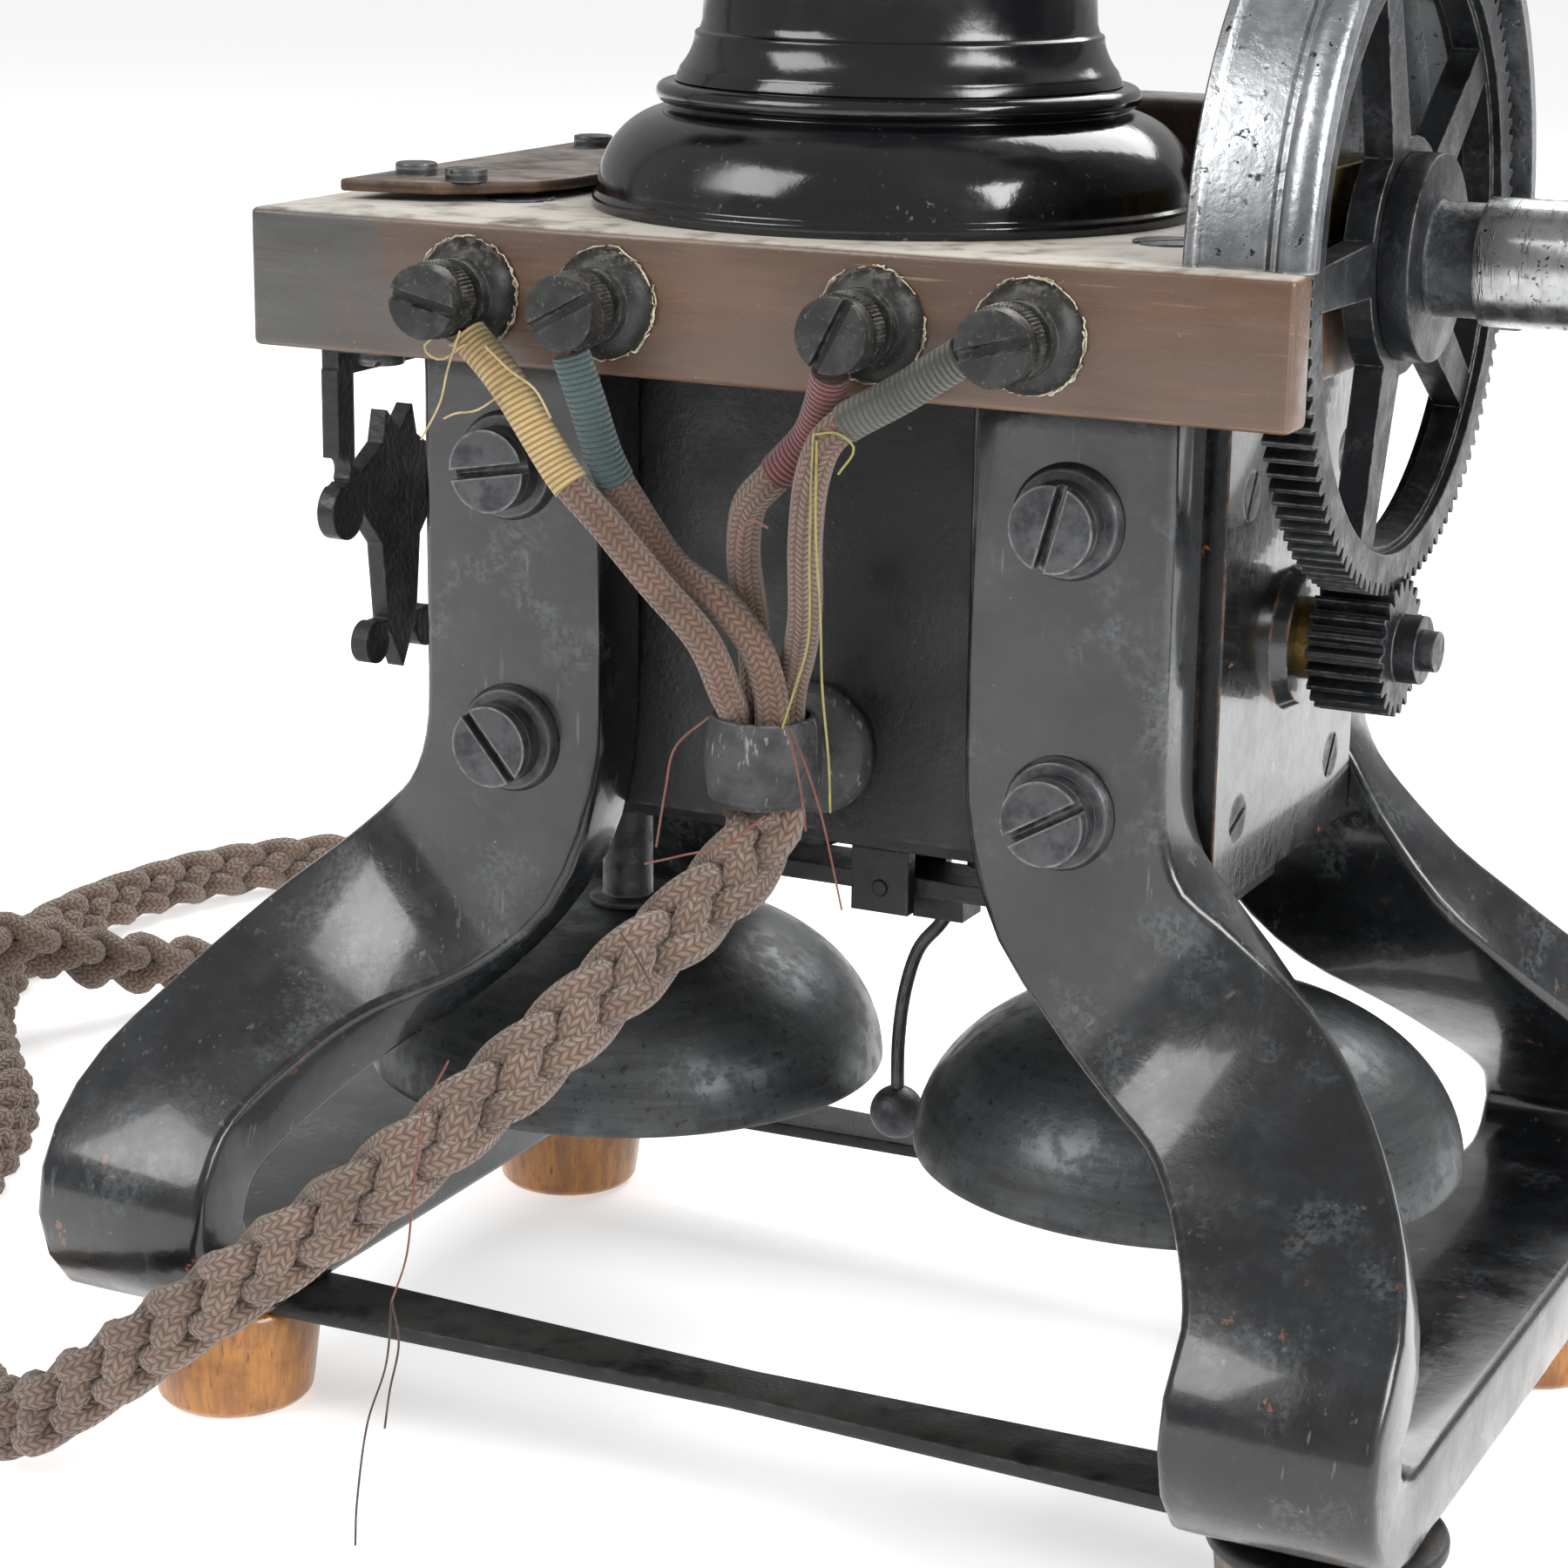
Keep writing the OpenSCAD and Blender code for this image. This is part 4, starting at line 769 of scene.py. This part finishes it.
built("rear_block_bar", [slab(rear_outline, BOARD_TOP, BOARD_TOP + REAR_BLOCK_H, 1.6, 4)], dark_fibre,
      ["rear_block"])

# ---------- column ----------
# The foot, the tube and the cap are turned from ebonite and polished black. Dust lies in the
# hollows and on the shoulders.
COLUMN_AT = Vector((0, -6, 0))
CAP_RISE = 96

ebonite, tree = new_finish("polished_ebonite")
dusting = product(tree, level(tree, 0.176, 0.159, 0.6), clouds(tree, 1.0, 0.62, 0.7),
                  clouds(tree, 9, 0.4, 0.6))
smear = clouds(tree, 15, 0.4, 0.7, 0.5)
shade = coats(tree, "#08080a", (smear, "#15161a"), (dusting, "#7c7870"),
              (clouds(tree, 0.8, 0.75, 0.8, 0.7), "#5f5c57"))
rough = add(tree, "ShaderNodeMapRange", {"Value": smear, "From Max": 0.5, "To Min": 0.1, "To Max": 0.24})[0]
lit(tree, shade, rough, uneven(tree, clouds(tree, 2, 0.3, 0.7), 0.08, 0.15), ior=EBONITE_IOR)



def arc(radius, height, size, degrees):
    """Points of a profile round a centre at (radius, height)."""
    return [(radius + size * math.cos(math.radians(a)), height + size * math.sin(math.radians(a)))
            for a in degrees]


foot_profile = [(0, 0), (37.4, 0), (37.4, 1.4), (36.8, 1.9)] + arc(26.6, 2, 10.2, range(4, 81, 4))
foot_profile += [(28.2, 12.3)] + arc(28.3, 13.8, 1.3, range(-80, 91, 17)) + [(0, 15.15)]
tube_profile = [(0, 15.2), (27.4, 15.2), (26.8, 16.4)]
tube_profile += [(24.9 + 1.9 * (1 - t / 8) ** 2, 16.6 + 4.4 * t / 8) for t in range(9)]
tube_profile += [(24.3, 21.3), (24, 22.4)]
tube_profile += [(16 + 7.8 * math.cos(math.pi / 2 * t / 24) ** 1.4, 26 + 34 * t / 24) for t in range(24)]
tube_profile += [(16, 60), (16, 84), (18.2, 85.5), (18.2, 88.5), (16, 90), (16, CAP_RISE), (0, CAP_RISE)]
cap_profile = [(0, 0), (16, 0), (19, 2), (20.2, 3.4), (20.6, 5.4), (20.2, 7), (19, 8), (17, 9), (10, 11),
               (8, 12.2), (7, 14), (0, 14)]
column_parts = [("foot", foot_profile, 0, 128, 0.15), ("tube", tube_profile, 0, 128, 0.2),
                ("cap", cap_profile, CAP_RISE, 96, 0.2)]
for part, profile, rise, steps, edge in column_parts:
    form = turned(profile, COLUMN_AT + Vector((0, 0, BOARD_TOP + rise)), steps=steps, edge=edge)
    built(f"column_{part}_turned", [form], ebonite, [f"column_{part}"])

# Boxwood, turned, oiled and dark.
boxwood, tree = new_finish("oiled_boxwood")
rings = clouds(tree, 1.4, 0.35, 0.65, stretch=(1, 1, 0.08))
shade = coats(tree, "#8a5a34", (rings, "#5e3a20"), (clouds(tree, 8, 0.4, 0.7, 0.5), "#3e2817"))
lit(tree, shade, 0.4, uneven(tree, rings, 0.08, radius=BEVEL_R))
clad(boxwood, "coil_bobbin")
clad(ebonite, "switch_block")

# ---------- gear guard ----------
# Half of a spun sheet steel cover over the wheel, with a lip on its left, a rolled bead on its
# right and a groove beside the bead. It is bright at the top, with painted shade on its lower ends, and rust
# has pitted it.
AXLE_Z = 155.3
GUARD_LEFT = 51.6
GUARD_RIGHT = 66.3


def half_above(shape, height):
    """Cuts a shape off below a height and closes the cut."""
    bmesh.ops.bisect_plane(shape, geom=shape.verts[:] + shape.edges[:] + shape.faces[:], dist=1e-4,
                           plane_co=(0, 0, height), plane_no=(0, 0, -1), clear_outer=True)
    bmesh.ops.holes_fill(shape, edges=[e for e in shape.edges if e.is_boundary], sides=0)
    bmesh.ops.recalc_face_normals(shape, faces=shape.faces[:])
    return shape


guard_profile = [(0, GUARD_LEFT), (44.7, GUARD_LEFT), (45, GUARD_LEFT + 0.3), (45, GUARD_LEFT + 1.3),
                 (44.6, GUARD_LEFT + 1.7), (44.15, GUARD_LEFT + 1.9), (44.3, 57), (44.2, 60.8), (43.6, 61.15),
                 (43.6, 61.75), (44.4, 62.1), (45.0, 62.7), (45.3, 63.8), (45.2, 65), (44.8, 65.9),
                 (44.2, GUARD_RIGHT), (42.4, GUARD_RIGHT), (42.4, GUARD_LEFT + 1.4), (0, GUARD_LEFT + 1.4)]

# Nickelled sheet steel: silvery grey with a cloudy stain, dark rust pits and painted shade that darkens the
# lower ends.
guard_steel, tree = new_finish("pitted_nickelled_steel")
pits = product(tree, clouds(tree, 1.3, 0.60, 0.66), clouds(tree, 8, 0.42, 0.55, seed=3))
fine_pits = clouds(tree, 0.6, 0.70, 0.74, seed=5)
stain = clouds(tree, 9, 0.35, 0.65, 0.7)
# Painted shade: the colour darkens towards the lower ends, near the board.
wear_and_painted_shade = add(tree, "ShaderNodeMapRange", {"Value": level(tree, 0.158, 0.178), "To Min": 0.85,
                                        "To Max": 0.1})[0]
shade = coats(tree, "#b4b6b8", (stain, "#8f9398"), (wear_and_painted_shade, "#63666a"), (fine_pits, "#4a4a4b"),
              (pits, "#2c2b2b"), (product(tree, edge_mask(tree, 0.6), clouds(tree, 2, 0.3, 0.6)), "#c9c8c4"))
rough = add(tree, "ShaderNodeMath", {0: pits, 1: 0.4, 2: patchy(tree, 3, 0.22, 0.42)},
            operation="MULTIPLY_ADD", use_clamp=True)[0]
relief = add(tree, "ShaderNodeMath", {0: pits, 1: -1.0, 2: clouds(tree, 1.2, 0.3, 0.7, 0.3)},
             operation="MULTIPLY_ADD")[0]
lit(tree, shade, rough, uneven(tree, relief, 0.15, 0.6), metallic=0.9)
guard = turned(guard_profile, (0, 0, AXLE_Z), "X", 160)
built("gear_guard_spun", [half_above(guard, BOARD_TOP)], guard_steel, ["gear_guard"])

# ---------- wheel, pinion and crank ----------
# A cut steel wheel of 112 teeth on the crank's axle drives a pinion of 22. The crank's sleeve and
# arm are filed and polished steel, and its grip is turned ebonite.
CRANK_THROW = 55
KNOB_X = 97.4

# Cut steel: dark with old oil, silvery where the face was rubbed, a little rust.
gear_steel, tree = new_finish("oiled_cut_steel")
rubbed = product(tree, clouds(tree, 7, 0.48, 0.66, 0.6), clouds(tree, 0.9, 0.4, 0.65))
edges = product(tree, edge_mask(tree, 0.4), clouds(tree, 2, 0.35, 0.6, 0.8))
oil = clouds(tree, 10, 0.5, 0.65, 0.8, seed=2)
shade = coats(tree, "#2b2d30", (rubbed, "#5a5c60"), (oil, "#181716"),
              (clouds(tree, 3, 0.72, 0.75, 0.8, seed=6), "#84502c"), (edges, "#8c8c8a"))
lit(tree, shade, patchy(tree, 4, 0.3, 0.5), uneven(tree, clouds(tree, 1.2, 0.3, 0.7), 0.1, radius=0.25),
    metallic=0.6)

# Filed and polished steel with rust pits and cross marks.
bright_steel, tree = new_finish("polished_pitted_steel")
pits = product(tree, clouds(tree, 1.0, 0.6, 0.66), clouds(tree, 6, 0.4, 0.6, seed=3))
marks = scratches(tree, 0.7, (1, 0.15, 0.15), 0.55, 0.7)
shade = coats(tree, "#b4b5b6", (clouds(tree, 6, 0.4, 0.7, 0.6), "#85878a"),
              (product(tree, marks, clouds(tree, 5, 0.3, 0.7, 0.5)), "#6f7072"), (pits, "#3a3430"),
              (edge_mask(tree, 0.5), "#d8d7d3"))
relief = add(tree, "ShaderNodeMath", {0: pits, 1: -1.0, 2: marks}, operation="MULTIPLY_ADD")[0]
lit(tree, shade, patchy(tree, 2, 0.16, 0.34), uneven(tree, relief, 0.05, 0.3, BEVEL_R), metallic=1.0)

hub_profile = [(0, 63.3), (12.2, 63.3), (12.2, 67.1), (6.9, 67.1), (6.7, 67.5), (6.7, 73.1), (0, 73.1)]
built("wheel_hub_turned", [turned(hub_profile, (0, 0, AXLE_Z), "X", 96, edge=0.3)], gear_steel,
      ["wheel_hub"], "drive")
knob_profile = [(0, 0), (7.2, 0), (7.8, 1.2), (7.3, 2.6), (6.6, 3.8), (6.4, 7), (6.8, 10.4), (7.6, 14),
                (8.4, 17.6), (9, 21), (9.35, 23.6), (9.4, 26), (9.2, 28.6), (8.7, 31), (7.8, 33.2),
                (6.6, 34.8), (5, 35.8), (3.4, 36.3), (0, 36.6)]
built("crank_grip", [turned(knob_profile, (KNOB_X, 0, AXLE_Z - CRANK_THROW), "X", 72)], ebonite,
      ["crank_knob"], "knob")
clad(gear_steel, "gear_wheel", "pinion")
clad(bright_steel, "crank")

# ---------- ringer ----------
# Two cast bells hang under an iron bar with two coils, and a thin rod with a ball swings between
# them. The bells are bell metal, dark and mottled.
BELL_X = 40.7
BELL_Z = 40
BELL_R = 35
BELL_H = 21.5
BELL_WALL = 1.8
BALL_R = 3.6
BALL_Z = 38

bell_metal, tree = new_finish("dark_bell_metal")
mottle = clouds(tree, 3.5, 0.42, 0.6)
spots = clouds(tree, 1.3, 0.6, 0.68, 0.8)
turning = clouds(tree, 1.0, 0.45, 0.6, 0.35, stretch=(0.1, 0.1, 1))
shade = coats(tree, "#45494b", (mottle, "#34373a"), (clouds(tree, 14, 0.4, 0.65, 0.7), "#414140"),
              (turning, "#565a5c"), (spots, "#232424"),
              (clouds(tree, 1.0, 0.72, 0.76, 0.8, seed=3), "#a3a19a"),
              (product(tree, edge_mask(tree, 0.5), clouds(tree, 3, 0.3, 0.6)), "#77776f"))
rough = add(tree, "ShaderNodeMapRange", {"Value": mottle, "To Min": 0.34, "To Max": 0.48})[0]
lit(tree, shade, rough, uneven(tree, mottle, 0.08, 0.3), metallic=0.55)


def bell_side(wall):
    """Points down one side of the dome, wall mm inside the outer face."""
    return [((BELL_R - wall) * math.cos(math.radians(a)) ** 0.82,
             BELL_Z + (BELL_H - wall) * math.sin(math.radians(a))) for a in range(0, 87, 3)]


for name, side in (("bell_left", -1), ("bell_right", 1)):
    top = BELL_Z + BELL_H
    profile = bell_side(0) + [(2.1, top), (2.1, top - BELL_WALL)] + bell_side(BELL_WALL)[::-1]
    bell = turned(profile, (side * BELL_X, 0, 0), steps=128, closed=True, edge=0.25)
    built(f"{name}_cast", [bell], bell_metal, [name])
posts = []
for side in (-1, 1):
    at = (side * BELL_X, 0, BELL_Z + BELL_H)
    posts.append(turned([(0, 0), (5.2, 0), (5.2, 0.8), (3.4, 1.2), (3.4, 14.5), (0, 14.5)], at, edge=0.2))
    posts.append(turned([(0, -5.4), (3.6, -5.4), (4.4, -4.9), (4.4, -2.0), (0, -2.0)], at, steps=6, edge=0.15))
    posts.append(turned([(0, -2.1), (2, -2.1), (2, 0.1), (0, 0.1)], at, steps=24))
built("bell_posts_and_nuts", posts, screw_steel, ["bell_posts"])
clad(flat_black, "ringer_bar", "ringer_pivots", "clapper_armature")

# The clapper: blackened spring wire with a turned ball.
clapper_line = smooth_line([(7, 0, 67), (5.4, 0, 64.6), (2.6, 0, 61), (0.8, 0, 55), (0, 0, 48), (0, 0, 40)], 1)
stand("clapper_rod", laid("clapper_rod", [clapper_line], 0.9, 12), screw_steel, "clapper")
ball_profile = [(BALL_R * math.sin(math.radians(a)), -BALL_R * math.cos(math.radians(a)))
                for a in range(0, 181, 9)]
built("clapper_ball", [turned(ball_profile, (0, 0, BALL_Z))], screw_steel, ["clapper"],
      "clapper")

# ---------- feet and straps ----------
# Turned wooden cones screwed up into the base bars, three varnished amber and one weathered
# replacement with a dark disc. Thin iron straps tie the two magnets together.
FOOT_Y = 45
FOOT_H = 15
DISC_T = 2
STRAP_T = 2


def wood(name, light, dark, stain, rough, coat):
    """Turned hardwood: grain about 1 mm wide runs up and down the cone."""
    finish, tree = new_finish(name)
    grain = clouds(tree, 1.3, 0.35, 0.65, stretch=(1, 1, 0.12))
    pores = clouds(tree, 0.5, 0.6, 0.68, stretch=(1, 1, 0.15), seed=2)
    shade = coats(tree, light, (grain, dark), (clouds(tree, 6, 0.42, 0.7, 0.7), stain), (pores, stain),
                  (product(tree, edge_mask(tree, 0.8), clouds(tree, 2, 0.35, 0.6)), stain))
    lit(tree, shade, rough, uneven(tree, grain, 0.12, 0.35), coat_weight=coat, coat_roughness=0.15)
    return finish


amber_wood = wood("amber_varnished_beech", "#b5782f", "#95602a", "#6a3f1c", 0.35, 0.5)
grey_wood = wood("weathered_oak", "#8d847a", "#6a625a", "#463f39", 0.75, 0.0)
cone_profile = [(0, 0), (8.6, 0), (9.6, 0.3), (10.3, 1.1), (10.6, 3), (11.9, FOOT_H - 1.2),
                (11.5, FOOT_H - 0.3), (10.9, FOOT_H), (0, FOOT_H)]
cones = [turned(cone_profile, (sx * TOE_X, sy * FOOT_Y, 0), edge=0.2)
         for sx, sy in ((-1, -1), (-1, 1), (1, 1))]
built("feet_cones", cones, amber_wood, ["feet"])
worn_at = (TOE_X, -FOOT_Y, 0)
cone_top = FOOT_H - DISC_T
worn_profile = [(0, 0), (10.6, 0), (11.6, 0.5), (12, 1.2), (13, cone_top - 0.8), (13, cone_top), (0, cone_top)]
built("foot_front_right_cone", [turned(worn_profile, worn_at, edge=0.25)], grey_wood,
      ["foot_front_right"])
disc_profile = [(0, cone_top), (13.4, cone_top), (14, cone_top + 0.4), (14, FOOT_H - 0.4), (13.6, FOOT_H),
                (0, FOOT_H)]
built("foot_front_right_disc", [turned(disc_profile, worn_at, edge=0.2)], flat_black)
straps = []
for side in (-1, 1):
    outline = [(0, -4), (59.6, -6), (82.6, -6), (82.6, 6), (59.6, 6), (0, 4), (-59.6, 6), (-82.6, 6),
               (-82.6, -6), (-59.6, -6)]
    straps.append(slab([(x, y + side * FOOT_Y) for x, y in outline], FOOT_H, FOOT_H + STRAP_T, 0.35, 2))
built("cross_strap_bars", straps, flat_black, ["cross_straps"])

# ---------- cradle and handset ----------
# A japanned fork lifts the hook switch. The handset has a turned ebonite handle, nickelled
# ferrules, black cases and ebonite caps, and a lever to talk.
nickel, tree = new_finish("dull_nickel_plate")
shade = coats(tree, "#b9b6ae", (clouds(tree, 5, 0.42, 0.65, 0.7), "#8a877f"),
              (clouds(tree, 1.2, 0.64, 0.7), "#55514a"))
lit(tree, shade, 0.28, uneven(tree, clouds(tree, 1, 0.3, 0.7), 0.04, radius=BEVEL_R), metallic=1.0)
clad(chipped_black, "cradle_fork")
clad(ebonite, "handset_handle", "ear_cap", "mouthpiece", "receiver_shell", "transmitter_shell")
clad(nickel, "handset_ferrules", "cord_gland", "talk_lever")

# ---------- light and floor ----------
# A white sweep under the telephone, a white studio, and large soft lamps to the left, to the
# right and behind.
STUDIO_LIGHT = 0.43
LAMPS = [("lamp_left", (-0.7, -0.9, 0.9), 0.7, 10), ("lamp_right", (1.1, -0.3, 0.7), 0.6, 14),
         ("lamp_back", (0.1, 1.1, 1.1), 0.9, 14)]
LAMP_AIM = Vector((0, 0, 0.1))
FLOOR_SIZE = 6
world = bpy.data.worlds.new("studio")
world.use_nodes = True
seen = add(world.node_tree, "ShaderNodeLightPath", {})["Is Camera Ray"]
strength = add(world.node_tree, "ShaderNodeMapRange", {"Value": seen, "To Min": STUDIO_LIGHT,
                                                       "To Max": 1.0})[0]
world.node_tree.links.new(strength, world.node_tree.nodes["Background"].inputs["Strength"])
world.node_tree.nodes["Background"].inputs["Color"].default_value = (1, 1, 1, 1)
bpy.context.scene.world = world
bpy.context.scene.view_settings.view_transform = "Standard"
for name, place, size, power in LAMPS:
    lamp = bpy.data.objects.new(name, bpy.data.lights.new(name, "AREA"))
    lamp.data.size = size
    lamp.data.energy = power
    lamp.location = place
    lamp.rotation_euler = (LAMP_AIM - Vector(place)).to_track_quat("-Z", "Y").to_euler()
    bpy.context.collection.objects.link(lamp)

floor_shape = bmesh.new()
bmesh.ops.create_grid(floor_shape, x_segments=1, y_segments=1, size=FLOOR_SIZE)
floor_mesh = bpy.data.meshes.new("floor")
floor_shape.to_mesh(floor_mesh)
floor_shape.free()
pale_floor, tree = new_finish("white_paper_sweep")
lit(tree, coats(tree, "#f8f8f8", (clouds(tree, 300, 0.4, 0.7, 0.2), "#f4f4f5")), 0.8,
    emission_color=(1, 1, 1, 1), emission_strength=0.5)
floor_mesh.materials.append(pale_floor)
floor = bpy.data.objects.new("floor", floor_mesh)
bpy.context.collection.objects.link(floor)
